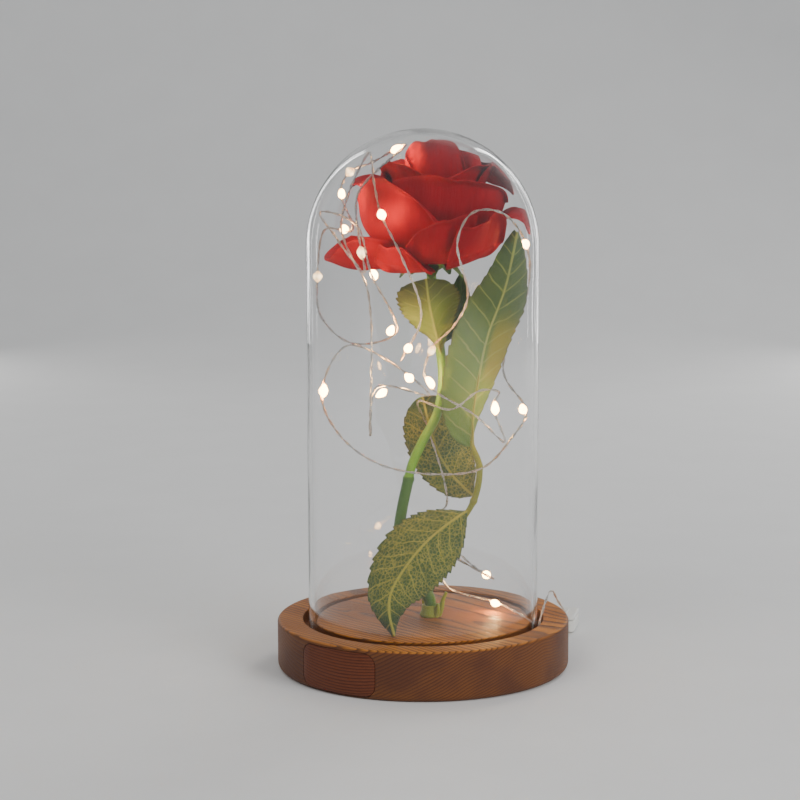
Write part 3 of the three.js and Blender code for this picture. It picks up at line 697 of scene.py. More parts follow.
# %% Collar and cup
FLOWER = np.array([4.0, 0.0, 0.0])
collar_profile = np.concatenate([
    [[3.0, 23.8], [5.0, 23.8]], arc(4.7, 24.6, 0.6, -60, 40, 5), [[4.5, 26.5], [4.3, 28.6]],
    arc(3.8, 28.9, 0.45, 0, 90, 4), [[3.0, 29.2], [3.0, 23.8]],
])
prong_lines = [
    even([[7.6, -2.2, 24.4], [8.8, -2.6, 28.0], [9.6, -2.8, 32.5], [11.2, -3.0, 36.0]], 24),
    even([[6.2, -3.8, 24.2], [7.0, -4.6, 27.5], [7.2, -5.0, 31.0]], 18),
    even([[1.8, 4.0, 24.4], [0.8, 4.8, 28.0], [0.2, 5.2, 31.5]], 18),
]
prongs = [tube(line, 1.25 - 0.55 * np.linspace(0, 1, len(line)) ** 2, 12) for line in prong_lines]
collar = moved(turned(collar_profile, 40), (STEM_X, 0, 0))
stem_foot = merged(mesh_object("stem_foot_collar", *joined(collar, *prongs)))

CUP_SIDE = [[2.6, 190.2], [4.4, 191], [6.3, 192.2], [8, 194], [9, 195.3]]
CUP_DOME = [[9.6, 195.7], [10.2, 196.1], [7.6, 196.9], [4.8, 197.7], [0, 198.6]]
cup_profile = np.concatenate([
    [[0, 190], [2.4, 190]],
    through(CUP_SIDE, np.linspace(0, 4, 18)),
    through(CUP_DOME, np.linspace(0, 4, 14)),
])
cup_profile[-1, 0] = 0
calyx = merged(mesh_object("calyx_cup", *moved(turned(cup_profile, 48), FLOWER)))
print("collar of", len(stem_foot.data.polygons), "faces, cup of", len(calyx.data.polygons))

# %% [markdown]
# A leaf is a sheet of printed cloth. Its middle surface is a formula of two numbers: v runs along the
# midrib from stalk to tip, and u across from one edge to the other. The edges are cut in small teeth, the
# two halves fold up or down along the midrib, the margin waves, and each side vein leaves a shallow furrow.
# A flat leaf bent by modifiers would do too, but the formula lets each leaf have its own width, curl and
# fold.

# %% Leaf shapes
LEAVES = {
    "leaf_under_flower": dict(
        rib=[[8.5, -2.1, 151], [6.3, -7.2, 162], [3, -9, 176], [1.5, -6, 187]],
        halves=((14.5, 1.4, 0.3), (14.5, 1.3, 0.4)), face=[0, -1, 0], cup=2, tooth=0.05, wave=1.5,
        fold=(0.15, 0.2)),
    "leaf_behind_flower": dict(
        rib=[[9.4, 1.4, 156.5], [17, 7, 171], [18.5, 7, 188]],
        halves=((5.5, 0.9, 1), (5.5, 0.9, 1)), face=[0, -1, 0], cup=1, tooth=0.04, wave=0.3, fold=(0.1, 0.1)),
    "leaf_upper_right": dict(
        rib=[[23.1, -11, 107.8], [23.4, -11.5, 124], [26.2, -13, 142.5], [30.3, -15, 162], [37.4, -19.5, 183],
             [40.6, -23.5, 199], [42.4, -26.5, 210]],
        halves=((17, 0.5, 0.85), (16, 1.5, 1.1)), face=[0.15, -1, 0.1], cup=3, tooth=0.03, wave=0.9,
        fold=(-0.1, 0.45)),
    "leaf_middle": dict(
        rib=[[23.8, -9.9, 84.3], [19.5, -2, 87], [14, 5.5, 92], [8, 8.5, 101], [3.5, 9.6, 114], [0, 9, 129]],
        halves=((13.5, 0.9, 0.6), (17, 0.8, 0.45)), face=[0, -1, 0.2], cup=-1, tooth=0.04, wave=0.8,
        fold=(0.1, 0.1)),
    "leaf_lower": dict(
        rib=[[20.8, -10.4, 77.2], [13.7, -16, 73.5], [2.8, -22, 66], [-7.1, -29, 56], [-15, -36, 43.7],
             [-15.9, -41, 35.4], [-13.6, -44.3, 25.2]],
        halves=((17, 0.9, 1.2), (17, 0.9, 1.2)), face=[0, -0.85, 0.5], cup=3, tooth=0.045, wave=1.0,
        fold=(0.15, 0.1)),
}
for name, shape in LEAVES.items():
    print(name, "is", sum(wide for wide, *_ in shape["halves"]), "mm wide")

# %% Leaf surface
LEAF_ROWS, LEAF_COLS = 181, 57
LEAF_ROOT, TEETH, TEETH_FROM = 0.6, 17, 0.72
FURROWS, FURROW_DEPTH, FURROW_SLANT = 9, 0.16, 1.6
MIDRIB_HEIGHT, MIDRIB_WIDTH = 0.35, 0.8


def leaf_surface(rib, halves, face, cup, tooth, wave, fold, rng):
    """p(u, v) = rib(v) + side u w(v) - out (cup u^2 + fold |u| w), where w is the outline of that half: its
    width times v^a (1 - v)^b over the greatest value of this, at v = a / (a + b), with saw teeth that grow
    towards the edge and a wave along the margin."""
    u, v = np.linspace(-1, 1, LEAF_COLS)[None, :], np.linspace(0, 1, LEAF_ROWS)[:, None]
    line = even(rib, LEAF_ROWS)
    along = unit(np.gradient(line, axis=0))
    side = unit(np.cross(along, unit(np.array(face, float))))
    out = unit(np.cross(side, along))
    outline = lambda v, a, b: v**a * (1 - v) ** b
    shares = (wide * outline(v, a, b) / outline(a / (a + b), a, b) for wide, a, b in halves)
    width = LEAF_ROOT + np.where(u < 0, *shares)
    uneven = waves(rng, v, 5, 7.0, 0.3)
    saw = (v * TEETH + uneven * np.where(u < 0, 1, -1)) % 1.0
    edge = ease((np.abs(u) - TEETH_FROM) / (1 - TEETH_FROM))
    reach = width * (1 + edge * (tooth * (saw - 0.5) * 2 - 0.02) + edge * waves(rng, v, 4, 4.0, 0.03))
    slanted = np.cos(2 * np.pi * (v * FURROWS - np.abs(u) * FURROW_SLANT))
    furrow = FURROW_DEPTH * slanted * ease(np.abs(u) * 3) * (1 - v)
    waved = waves(rng, v, 3, 8.0, 1.0) * (u < 0) + waves(rng, v, 3, 8.0, 1.0) * (u > 0)
    margin = wave * np.abs(u) ** 2.5 * waved
    folded = np.where(u < 0, *fold) * np.abs(u) * width
    ridge = MIDRIB_HEIGHT * np.exp(-((u * width / MIDRIB_WIDTH) ** 2)) * (1 - v)
    rise = ridge + furrow + margin - cup * u**2 - folded
    lean = np.where(u < 0, *(math.sqrt(1 - slope**2) for slope in fold))
    points = line[:, None] + side[:, None] * (u * reach * lean)[..., None] + out[:, None] * rise[..., None]
    length = lengths(line)[-1]
    return points, {"across": u + 0 * v, "along": v + 0 * u, "wide": u * width, "long": v * length + 0 * u}


def sheet_piece(name, points, maps, thick):
    """A closed cloth piece whose points carry u, v, the side of the cloth, and a map in millimetres."""
    both, faces = cloth(points, thick)
    doubled = {key: np.tile(maps[key].ravel(), 2) for key in maps}
    uv = np.stack([doubled.pop("wide"), doubled.pop("long")], axis=-1)
    doubled["front"] = np.repeat([1.0, 0.0], points.shape[0] * points.shape[1])
    return mesh_object(name, both, faces, doubled, uv)


print("a leaf has", LEAF_ROWS, "by", LEAF_COLS, "points on each face")

# %% Leaves
LEAF_THICKNESS = 0.4
rng = np.random.default_rng(21)
leaves = {}
for name, shape in LEAVES.items():
    points, maps = leaf_surface(**shape, rng=rng)
    leaves[name] = sheet_piece(f"{name}_cloth", points, maps, LEAF_THICKNESS)
print(len(leaves), "leaves of", len(leaves["leaf_lower"].data.polygons), "faces")

# %% [markdown]
# A petal is cut flat from thin woven cloth and pressed with heat, which cups it and rolls its rim back. It
# could be draped by a cloth simulation, but a formula gives each petal its own outline, as the flower
# needs. The middle surface starts from a spine in the plane of radius and height, a cubic curve from the
# heart of the flower to the tip. The spine's direction is an angle, so rolling the rim back is only taking
# an amount from that angle near the end and adding the steps up again. Width then goes round the flower's
# axis.

# %% Petal shapes
# A layer gives where its petals start, half the width of their feet, the angle at which their spines leave,
# and how far one edge stands out over the next petal. A petal gives the way it faces, half its width, where
# its tip is and at which angle the spine arrives there, and what else is its own.
LAYERS = {
    "bud": dict(radius=2.2, height=199, foot=1.5, start=78, spiral=2.7),
    "inner": dict(radius=4.8, height=198, foot=2.2, start=62, spiral=2),
    "cup": dict(radius=7.6, height=197.2, foot=2.6, start=45, spiral=2.2),
    "outer": dict(radius=10.6, height=196.4, foot=2.2, start=33, spiral=2),
}
PETALS = [
    dict(layer="bud", facing=-90, half=18, tip=(11, 250.5), end=100, shoulders=(0.08, 0.16), roll=45),
    dict(layer="bud", facing=30, half=17, tip=(10, 249.5), end=100, shoulders=(0.25, 0.12), roll=45),
    dict(layer="bud", facing=150, half=16, tip=(9.5, 247), end=100, shoulders=(0.12, 0.12), roll=45),
    dict(layer="inner", facing=-30, half=24, tip=(26.5, 243.5), end=75, spiral=-0.5, bowl=-2,
         shoulders=(0.1, 0.06)),
    dict(layer="inner", facing=54, half=20, tip=(22, 248), end=80, shoulders=(0.1, 0.1)),
    dict(layer="inner", facing=128, half=20.5, tip=(20, 242), end=80, spiral=3, shoulders=(0.1, 0.1)),
    dict(layer="inner", facing=212, half=21, tip=(20.5, 242), end=82, spiral=1.2, shoulders=(0.18, 0.12)),
    dict(layer="cup", facing=-130, half=28, tip=(33.5, 233), end=95, start=4, spiral=1.6, leave=0.64,
         shoulders=(0.16, 0.3)),
    dict(layer="cup", facing=-67, half=33.5, tip=(34.5, 235), end=88, start=20, spiral=1.6,
         shoulders=(0.02, 0.15)),
    dict(layer="cup", facing=15, half=25, tip=(42.5, 229), end=-70, start=43, reach=0.8, spiral=0.5, roll=18,
         shoulders=(0.05, 0.06)),
    dict(layer="cup", facing=87, half=19, tip=(33, 236), end=70, start=30, spiral=-1, shoulders=(0.2, 0.25)),
    dict(layer="cup", facing=162, half=19, tip=(41.5, 231), end=-35, start=40, spiral=1.2, bowl=-1, roll=40,
         shoulders=(0.1, 0.35)),
    dict(layer="outer", facing=-171, half=24.5, tip=(50.5, 197), end=28, start=-26, spiral=0, bowl=15,
         roll=15),
    dict(layer="outer", facing=-118.5, half=11.5, tip=(38, 206), end=60, start=-45, spiral=-0.5, leave=0.6,
         shoulders=(0.2, 0.62)),
    dict(layer="outer", facing=-83, half=16, tip=(40, 218), end=80, start=-20, spiral=0, leave=0.44,
         shoulders=(0.24, -0.04)),
    dict(layer="outer", facing=-50, half=17, tip=(41, 219), end=80, start=-30, spiral=-1.8, leave=0.44,
         shoulders=(0.0, 0.33)),
    dict(layer="outer", facing=-2.5, half=21, tip=(50, 211.5), end=-60, start=-28, reach=0.75, spiral=0.5,
         bowl=-2, roll=40),
    dict(layer="outer", facing=68.5, half=18, tip=(42, 206), end=10, start=4),
    dict(layer="outer", facing=115.5, half=18, tip=(44, 204), end=-5, start=20),
]
for layer in LAYERS:
    print(sum(petal["layer"] == layer for petal in PETALS), "petals in the layer", layer)

# %% Petal surface
PETAL_ROWS, PETAL_COLS = 101, 89
ROLL_FROM, FREE_FROM, LAP_BY, WIDE_AT, SEAM_FROM = 0.86, 0.35, 0.18, 0.75, 0.78
NICK_DEPTH, NICK_WIDTH, EDGE_LIFT = 0.012, 0.1, 1.3
ROOM_IN_GLASS, CLOTH_OVER_CHORD = 51.3, 1.1


def petal_surface(layer, facing, half, tip, end, rng, start=None, spiral=None, reach=0.4, roll=70,
                  shoulders=(0.16, 0.16), bowl=0.0, leave=0.4):
    """p(u, v): the spine's point at t = v (1 - s |u|^3), s its left or right shoulder, pushed off along the
    normal by the overlap, the bowl (less b u^2) and folds, and turned about the axis by u w(v) / r. The spine
    is a cubic whose two handles are leave and reach times its chord, and its angle loses the roll near the
    rim. A point that would touch the glass is drawn in to the room that the glass leaves."""
    place = LAYERS[layer]
    start = place["start"] if start is None else start
    spiral = place["spiral"] if spiral is None else spiral
    u, v = np.linspace(-1, 1, PETAL_COLS)[None, :], np.linspace(0, 1, PETAL_ROWS)[:, None]
    first, last = np.array([place["radius"], place["height"]]), np.array(tip, float)
    chord = np.linalg.norm(last - first)
    heading = lambda degrees: compass(degrees)[0][:2]
    handles = [first, first + leave * chord * heading(start), last - reach * chord * heading(end), last]
    rim = 1 + waves(rng, u, 5, 1.7, 0.016) + NICK_DEPTH * np.exp(-((u / NICK_WIDTH) ** 2))
    t = v * (1 - np.where(u < 0, *shoulders) * np.abs(u) ** 3) * rim
    middle = (t[1:] + t[:-1]) / 2
    weights = [3 * (1 - middle) ** 2, 6 * (1 - middle) * middle, 3 * middle**2]
    speed = sum(w[..., None] * (b - a) for w, a, b in zip(weights, handles, handles[1:]))
    angle = np.unwrap(np.arctan2(speed[..., 1], speed[..., 0]), axis=0)
    near_rim = ease((v[1:] - ROLL_FROM) / (1 - ROLL_FROM)) ** 1.3
    angle = angle - math.radians(roll) * (0.75 + waves(rng, u, 4, 2.2, 0.3)) * near_rim
    step = np.linalg.norm(speed, axis=-1) * np.diff(t, axis=0)
    radial = np.concatenate([0 * u, np.cumsum(step * np.cos(angle), axis=0)]) + first[0]
    height = np.concatenate([0 * u, np.cumsum(step * np.sin(angle), axis=0)]) + first[1]
    slope = np.concatenate([angle[:1], angle])
    free = ease((v - FREE_FROM) / (1 - FREE_FROM))
    folds = free * (waves(rng, u, 4, 2.4, 0.7) + 0.5 * np.sin(5 * v + waves(rng, u, 3, 2.0, 1.5)))
    edge = EDGE_LIFT * ease((np.abs(u) - SEAM_FROM) / (1 - SEAM_FROM)) * free
    off = spiral * u * np.minimum(v / LAP_BY, 1) - bowl * u**2 * ease(v / 0.7) + folds + edge
    r, z = radial + np.sin(slope) * off, height - np.cos(slope) * off
    width = place["foot"] + (half - place["foot"]) * np.sin(np.minimum(v / WIDE_AT, 1) * np.pi / 2) ** 1.4
    around = math.radians(facing) + u * width / np.maximum(radial, place["radius"])
    points = np.stack([r * np.cos(around), r * np.sin(around), z], axis=-1) + FLOWER
    room = np.sqrt(ROOM_IN_GLASS**2 - np.maximum(points[..., 2] - GLASS_TOP_CENTRE, 0) ** 2)
    points[..., :2] *= np.minimum(1, room / np.linalg.norm(points[..., :2], axis=-1))[..., None]
    maps = {"across": u + 0 * v, "along": v + 0 * u, "wide": u * width, "long": t * chord * CLOTH_OVER_CHORD}
    return points, maps


print("a petal has", PETAL_ROWS, "by", PETAL_COLS, "points on each face")

# %% Petals
PETAL_THICKNESS = 0.3
rng = np.random.default_rng(3)
petals = {}
for number, shape in enumerate(PETALS, start=1):
    points, maps = petal_surface(**shape, rng=rng)
    petals[f"petal_{number:02d}"] = sheet_piece(f"petal_{number:02d}_cloth", points, maps, PETAL_THICKNESS)
print(len(petals), "petals of", len(petals["petal_01"].data.polygons), "faces")

# %% [markdown]
# Five narrow green tongues spread under the petals from the cup's rim. They are sheets too, made like the
# leaves but simpler: bent down at the tip and pinched along the middle.

# %% Sepals
SEPAL_START, SEPAL_REACH, SEPAL_HEIGHT, SEPAL_DROOP, SEPAL_PINCH = 7.6, 7.9, 193.8, 6.3, 0.5
sepals = {}
for number in range(5):
    u, v = np.linspace(-1, 1, 17)[None, :], np.linspace(0, 1, 49)[:, None]
    outward, sideways = compass(-90 + 72 * number)
    # Half the width is a sine whose widest place the power 0.7 draws towards the foot.
    width = 0.5 + 3.2 * np.sin(np.pi * v**0.7) ** 0.8
    radius = SEPAL_START + SEPAL_REACH * v + 0 * u
    points = radius[..., None] * outward + (u * width)[..., None] * sideways + FLOWER
    points[..., 2] = SEPAL_HEIGHT - SEPAL_DROOP * v**2 - SEPAL_PINCH * (1 - np.abs(u)) * np.sin(np.pi * v)
    maps = {"across": u + 0 * v, "along": v + 0 * u, "wide": u * width, "long": 8 * v + 0 * u}
    sepals[f"sepal_{number + 1}"] = sheet_piece(f"sepal_{number + 1}_cloth", points, maps, LEAF_THICKNESS)
print(len(sepals), "sepals")

# %% [markdown]
# The base was sawn from a plank and stained brown. Growth rings are cylinders round a line, the heart of
# the tree, which lies about a hand's width below this disc and runs slantwise under it. So the pattern is
# just the distance from that line, cut into rings: it gives the long flames on the top and the slanting
# lines round the side from one formula. The wave texture draws rings too, but here each ring can darken
# slowly and end sharply, as a year's growth does. Fine pores are noise stretched along the same line. The
# turned side is painted much darker than the plate: that is painted shade.

# %% Wood finish
LOOP_PLACE, LOOP_HEIGHT = (-24, 4, 23.5), 5.0


def wood_finish(name, pale, middle, dark, heart, slant, spacing, rough=0.42, side=None):
    """late = the dark end of each ring, where ring = fraction(distance from the heart line / spacing). The
    distance has a low hill round one place, which closes the rings round it."""
    paint = Paint(name)
    grain = lambda *stretch: paint.place(stretch, (0, 0, slant))
    _, w, z = paint.parts(paint.place(turned=(0, 0, slant), centre=heart))
    drift = paint.noise(grain(0.012, 0.03, 0.02))
    uneven = paint.noise(grain(0.004, 0.06, 0.06), 1.0)
    near, off, _ = paint.parts(paint.place((0.05, 0.17, 1), (0, 0, slant), LOOP_PLACE))
    hill = (near * near * -1.0 - off * off).math("EXPONENT")
    distance = (w * w + z * z) ** 0.5 + (drift - 0.5) * 5.0 + (uneven - 0.5) * 3.0 + hill * LOOP_HEIGHT
    ring = (distance / spacing).math("FRACT")
    late = ring.step(0.35, 0.93) * ring.step(1.0, 0.94)
    fibre = paint.noise(grain(0.05, 3.2, 3.2), 4.0, 0.65)
    pores = paint.noise(grain(0.12, 5.5, 5.5)).step(0.6, 0.72)
    patches = paint.noise(grain(0.01, 0.05, 0.05))
    ground = paint.mix(patches.step(0.35, 0.65), middle, pale)
    streaked = paint.mix(fibre.step(0.3, 0.75) * 0.55, ground, middle)
    colour = paint.mix(late * (0.65 + 0.35 * fibre) * (0.6 + 0.4 * drift.step(0.3, 0.6)), streaked, dark)
    colour = paint.mix(pores * 0.45, colour, dark)
    # The side colour is painted shade: everything below the plate's edge is darkened towards it.
    if side:
        height = paint.parts(paint.place())[2]
        colour = paint.mix(height.step(23.3, 22.6) * (0.5 + 0.4 * patches.step(0.3, 0.7)), colour, side)
    gloss = rough + 0.16 * fibre - 0.08 * late
    relief = paint.bump((1 - late) * 0.5 + (1 - pores) * 0.3 + fibre * 0.2, 0.12)
    return paint.done(paint.shader(Base_Color=colour, Roughness=gloss, Normal=relief,
                                   Specular_IOR_Level=0.25))


# The base's last colour, for its turned side, is painted shade.
base_wood = wood_finish("base_wood", (0.56, 0.215, 0.040), (0.31, 0.110, 0.022), (0.038, 0.014, 0.007),
                        heart=(30, -4, -78), slant=math.radians(48), spacing=1.35, side=(0.075, 0.028, 0.020))
door_wood = wood_finish("door_wood", (0.17, 0.050, 0.022), (0.11, 0.031, 0.015), (0.055, 0.015, 0.010),
                        heart=(-20, -8, -60), slant=math.radians(36), spacing=1.1, rough=0.4)
finished(base, base_wood, ["wooden_base"], 35)
finished(door, door_wood, ["battery_door"], 35)
print("wood finished")

# %% [markdown]
# Clear glass needs only its refraction: it has no colour of its own at this thickness. Light from the
# studio would reach the rose only by paths that bend twice, which is slow to find, so for shadow rays the
# glass is taken as plain transparent. A very shallow, wide waviness stands for the marks of blowing.

# %% Glass finish
paint = Paint("clear_glass")
blown = paint.bump(paint.noise(paint.place((0.045, 0.045, 0.02)), 1.0), 0.25)
glass = paint.shader(Base_Color=(1.0, 1.0, 1.0), Roughness=0.0, IOR=1.46, Transmission_Weight=1.0,
                     Normal=blown)
clear = paint.node("ShaderNodeBsdfTransparent", None, {"Color": (0.95, 0.96, 0.95, 1.0)})
is_shadow = paint.node("ShaderNodeLightPath", out="Is Shadow Ray")
finished(dome, paint.done(paint.blend(is_shadow, glass, clear)), ["glass_dome"], 60)
print("glass finished")

# %% [markdown]
# The stalks are satin plastic with faint lengthwise streaks from the mould. The stem is a darker green below
# its joint, with painted shade on it too, and bright yellow-green above it; the branch is olive, and the
# collar is yellow-green. The cup and the tongues under the flower are a duller green. One finish with two
# greens serves them all.

# %% Plastic stalks
def stalk_finish(name, deep, bright, rough, below=None):
    """Two greens in slow clouds and streaks. A third one, if given, colours what is below the joint: the
    lower rod's own darker green with painted shade on it.
    """
    paint = Paint(name)
    cloud = paint.noise(paint.place((0.06, 0.06, 0.03)), 3.0)
    streaks = paint.noise(paint.place((1.2, 1.2, 0.06)), 3.0, 0.6)
    colour = paint.mix(cloud.step(0.3, 0.7) * 0.7 + streaks * 0.3, deep, bright)
    if below:
        # Below the joint: the lower rod's darker green, with painted shade in the same colour.
        under = paint.parts(paint.place())[2].step(JOINT_HEIGHT + 0.4, JOINT_HEIGHT - 0.4)
        colour = paint.mix(under * (0.7 + streaks * 0.3), colour, below)
    gloss = rough + (streaks - 0.5) * 0.2
    return paint.done(paint.shader(
        Base_Color=colour, Roughness=gloss, Normal=paint.bump(streaks, 0.12), Subsurface_Weight=0.15,
        Subsurface_Radius=(0.4, 1.0, 0.2), Subsurface_Scale=0.001))


stem_green = stalk_finish("stem_green", (0.15, 0.36, 0.012), (0.30, 0.56, 0.02), 0.36,
                          below=(0.045, 0.13, 0.012))
branch_green = stalk_finish("branch_green", (0.22, 0.23, 0.010), (0.46, 0.43, 0.02), 0.42)
foot_green = stalk_finish("foot_green", (0.20, 0.28, 0.012), (0.46, 0.45, 0.02), 0.42)
cup_green = stalk_finish("cup_green", (0.07, 0.15, 0.025), (0.15, 0.28, 0.05), 0.6)
finished(stem, stem_green, ["main_stem"])
finished(branch, branch_green, ["branch_stem"])
finished(stem_foot, foot_green, ["stem_foot"])
finished(calyx, cup_green, ["calyx"])
for node, piece in sepals.items():
    finished(piece, cup_green, [node])
print("stalks finished")

# %% [markdown]
# The leaves are printed: a pale midrib, side veins that leave it at a slant, and a net of fine veins
# between them, over green that darkens towards the edge. An image could be laid on the cloth, but formulas
# stay sharp however near the camera comes. The print follows the sheet, so it is drawn with the sheet's own
# map in millimetres. A vein is a thin band round a line, and the line is a formula of that map.

# %% Leaf finish
def leaf_finish(name, ground, light, vein, net, net_scale=0.62, side=1.0, spacing=7.5,
                edge=(0.10, 0.05, 0.02), tip=0.0, tip_shade=None, painted_glow=None):
    """rib = |x| < 0.5, side veins = a narrow band of fraction((y - 0.9|x| + 0.012 x^2) / spacing), net = the
    edges of uneven cells; x is millimetres across and y along. A tip shade is a colour and the part of the
    length over which it comes in towards the tip: painted shade where the leaf lies under the petals. A
    painted glow is a colour on the right half, near the middle: painted light that shines through the leaf.
    The back of the cloth is paler, near the colour of the veins."""
    paint = Paint(name)
    x, y, _ = paint.parts(paint.cloth_place())
    wide, along = x.math("ABSOLUTE"), paint.value("along")
    bend = paint.noise(paint.cloth_place((0.09, 0.09, 1))) - 0.5
    rib = (wide + bend * 0.3).step(0.75, 0.3)
    line = ((y - wide * 0.9 + wide * wide * 0.012 + bend * 5.0) / spacing).math("FRACT") - 0.5
    veins = line.math("ABSOLUTE").step(0.075, 0.02) * wide.step(16.0, 9.0) * side
    coarse = paint.cells(paint.cloth_place((1, 0.8, 1)), net_scale, 0.9)
    small = paint.cells(paint.cloth_place((1, 0.9, 1)), net_scale * 2.3, 1.0)
    patch = paint.noise(paint.cloth_place((0.12, 0.12, 1)), 3.0)
    netting = (coarse.step(0.11, 0.03) + small.step(0.09, 0.02) * 0.55) * net
    netting = netting * (0.35 + 0.65 * patch.step(0.25, 0.6)) * along.step(1.0, 0.72 - tip)
    weave = paint.noise(paint.cloth_place((3.0, 3.0, 1)), 3.0, 0.7)
    colour = paint.mix(patch * 0.6 + weave * 0.4, ground, light)
    # Painted shade comes in towards the tip, where the leaf lies under the petals.
    if tip_shade:
        colour = paint.mix(along.step(*tip_shade[1]) * 0.85, colour, tip_shade[0])
    # A painted patch of light shining through the right half of the leaf, near its middle.
    if painted_glow:
        glow_patch = x.step(1.0, 4.0) * along.step(0.26, 0.36) * along.step(0.66, 0.5)
        colour = paint.mix(glow_patch * 0.8, colour, painted_glow)
    colour = paint.mix(netting.math("MINIMUM", 1.0) * 0.8, colour, vein)
    colour = paint.mix(rib.math("MAXIMUM", veins), colour, vein)
    rim = paint.value("across").math("ABSOLUTE")
    colour = paint.mix(rim.step(0.93, 1.0) * (0.4 + 0.6 * patch), colour, edge)
    back = tuple(min(1.0, 0.35 * g + 0.65 * v + 0.02) for g, v in zip(ground, vein))
    colour = paint.mix((1 - paint.value("front")) * 0.65, colour, back)
    relief = paint.bump(weave * 0.25 + rib * 0.4 + veins * 0.25 + netting * 0.15, 0.22)
    surface = paint.shader(Base_Color=colour, Roughness=0.62 + 0.15 * weave, Normal=relief, Sheen_Weight=0.15,
                           Sheen_Roughness=0.5)
    passed = paint.translucent(tuple(min(1.0, 1.6 * c) for c in light))
    return paint.done(paint.blend(0.25, surface, passed))


NET_GROUND, NET_LIGHT = (0.014, 0.06, 0.006), (0.04, 0.115, 0.01)
leaf_looks = {
    "leaf_under_flower": leaf_finish(
        "leaf_pale", (0.15, 0.25, 0.02), (0.29, 0.38, 0.05), (0.40, 0.44, 0.09), net=0.4, net_scale=0.9,
        side=0.6, spacing=6.0, tip_shade=((0.09, 0.10, 0.045), (0.5, 0.85))),
    "leaf_behind_flower": leaf_finish(
        "leaf_deep", (0.02, 0.07, 0.01), (0.04, 0.12, 0.018), (0.08, 0.16, 0.03), net=0.2),
    "leaf_upper_right": leaf_finish(
        "leaf_grey_green", (0.10, 0.21, 0.02), (0.20, 0.33, 0.04), (0.46, 0.50, 0.12), net=0.2,
        side=0.75, spacing=9.0, tip_shade=((0.075, 0.13, 0.06), (0.3, 0.75)), painted_glow=(0.42, 0.34, 0.03)),
    "leaf_middle": leaf_finish(
        "leaf_net_middle", NET_GROUND, NET_LIGHT, (0.50, 0.45, 0.05), net=0.9, side=0.5),
    "leaf_lower": leaf_finish(
        "leaf_net_lower", NET_GROUND, NET_LIGHT, (0.52, 0.46, 0.05), net=0.85, side=0.65, tip=0.05,
        edge=(0.03, 0.07, 0.015)),
}
for node, piece in leaves.items():
    finished(piece, leaf_looks[node], [node])
print("leaves finished")

# %% [markdown]
# The petals are thin red cloth. Dyed cloth is never one red: it is deeper where the dye pooled. The deeper
# red in the throat of the flower is painted shade, and the paler rim is a painted highlight. The threads run
# lengthwise, so the streaks are noise stretched along the petal. Some light passes through, which a
# translucent shader gives.

# %% Petal finish
paint = Paint("petal_cloth")
threads = paint.noise(paint.cloth_place((2.6, 0.10, 1)), 3.0, 0.6)
creases = paint.noise(paint.cloth_place((0.45, 0.035, 1)), 2.0, 0.55)
cloudy = paint.noise(paint.cloth_place((0.09, 0.05, 1)), 3.0)
weave = paint.noise(paint.cloth_place((4.0, 4.0, 1)), 2.0, 0.7)
along, rim = paint.value("along"), paint.value("across").math("ABSOLUTE")
body = paint.mix(cloudy.step(0.3, 0.7), (0.42, 0.0006, 0.007), (0.58, 0.002, 0.010))
body = paint.mix(threads.step(0.42, 0.68) * 0.6, body, (0.29, 0.0005, 0.005))
# Deeper red towards the foot of each petal, in the throat of the flower: painted shade.
body = paint.mix(along.step(0.45, 0.1), body, (0.26, 0.001, 0.006))
# A paler rim and tip on each petal: a painted highlight.
rim_highlight = along.step(0.95, 1.0).math("MAXIMUM", rim.step(0.95, 1.0) * along.step(0.4, 0.7))
body = paint.mix(rim_highlight * 0.4, body, (0.66, 0.03, 0.03))
relief = paint.bump(creases * 0.65 + threads * 0.25 + weave * 0.1, 0.9)
surface = paint.shader(Base_Color=body, Roughness=0.55 + 0.2 * weave, Normal=relief, Specular_IOR_Level=0.08)
petal_finish = paint.done(paint.blend(0.2, surface, paint.translucent((0.80, 0.004, 0.008))))
for node, piece in petals.items():
    finished(piece, petal_finish, [node])
print("petals finished")

# %% [markdown]
# The wire is bright metal under clear lacquer, silver with a breath of copper in places. A lamp's drop is
# lit from its middle: a point light inside each would be slow, so the drop itself glows, strongest half way
# along and fading to the clear ends. Four of the twenty are weak. The case is pale satin plastic with the
# fine grain of its mould.

# %% Wire, lamp and case finishes
paint = Paint("bright_wire")
tint = paint.noise(paint.place((0.03, 0.03, 0.03)))
metal = paint.mix(tint.step(0.45, 0.7), (0.80, 0.78, 0.74), (0.78, 0.56, 0.40))
scuff = paint.noise(paint.place((1.5, 1.5, 1.5)))
wire_finish = paint.done(paint.shader(Base_Color=metal, Metallic=1.0, Roughness=0.18 + 0.2 * scuff,
                                      Coat_Weight=0.3))


def lamp_finish(name, strength, heart, skin):
    """Emission goes from the skin's colour to the heart's by exp(-((t - 1/2) / 0.2)^2), t being the way along
    the drop."""
    paint = Paint(name)
    t = paint.value("along") - 0.5
    shine = (t * t * -25.0).math("EXPONENT")
    colour = paint.mix(shine, skin, heart)
    ripple = paint.bump(paint.noise(paint.place((0.6, 0.6, 0.6))), 0.2)
    return paint.done(paint.shader(
        Base_Color=(1.0, 0.93, 0.80), Roughness=0.08, IOR=1.5, Transmission_Weight=0.7,
        Emission_Color=colour, Emission_Strength=strength, Normal=ripple))


lamp_lit = lamp_finish("lamp_lit", 60.0, (1.0, 0.66, 0.28), (0.40, 0.18, 0.04))
lamp_dim = lamp_finish("lamp_dim", 3.0, (1.0, 0.74, 0.40), (0.20, 0.11, 0.04))
DIM_LAMPS = {5, 13, 16, 18}

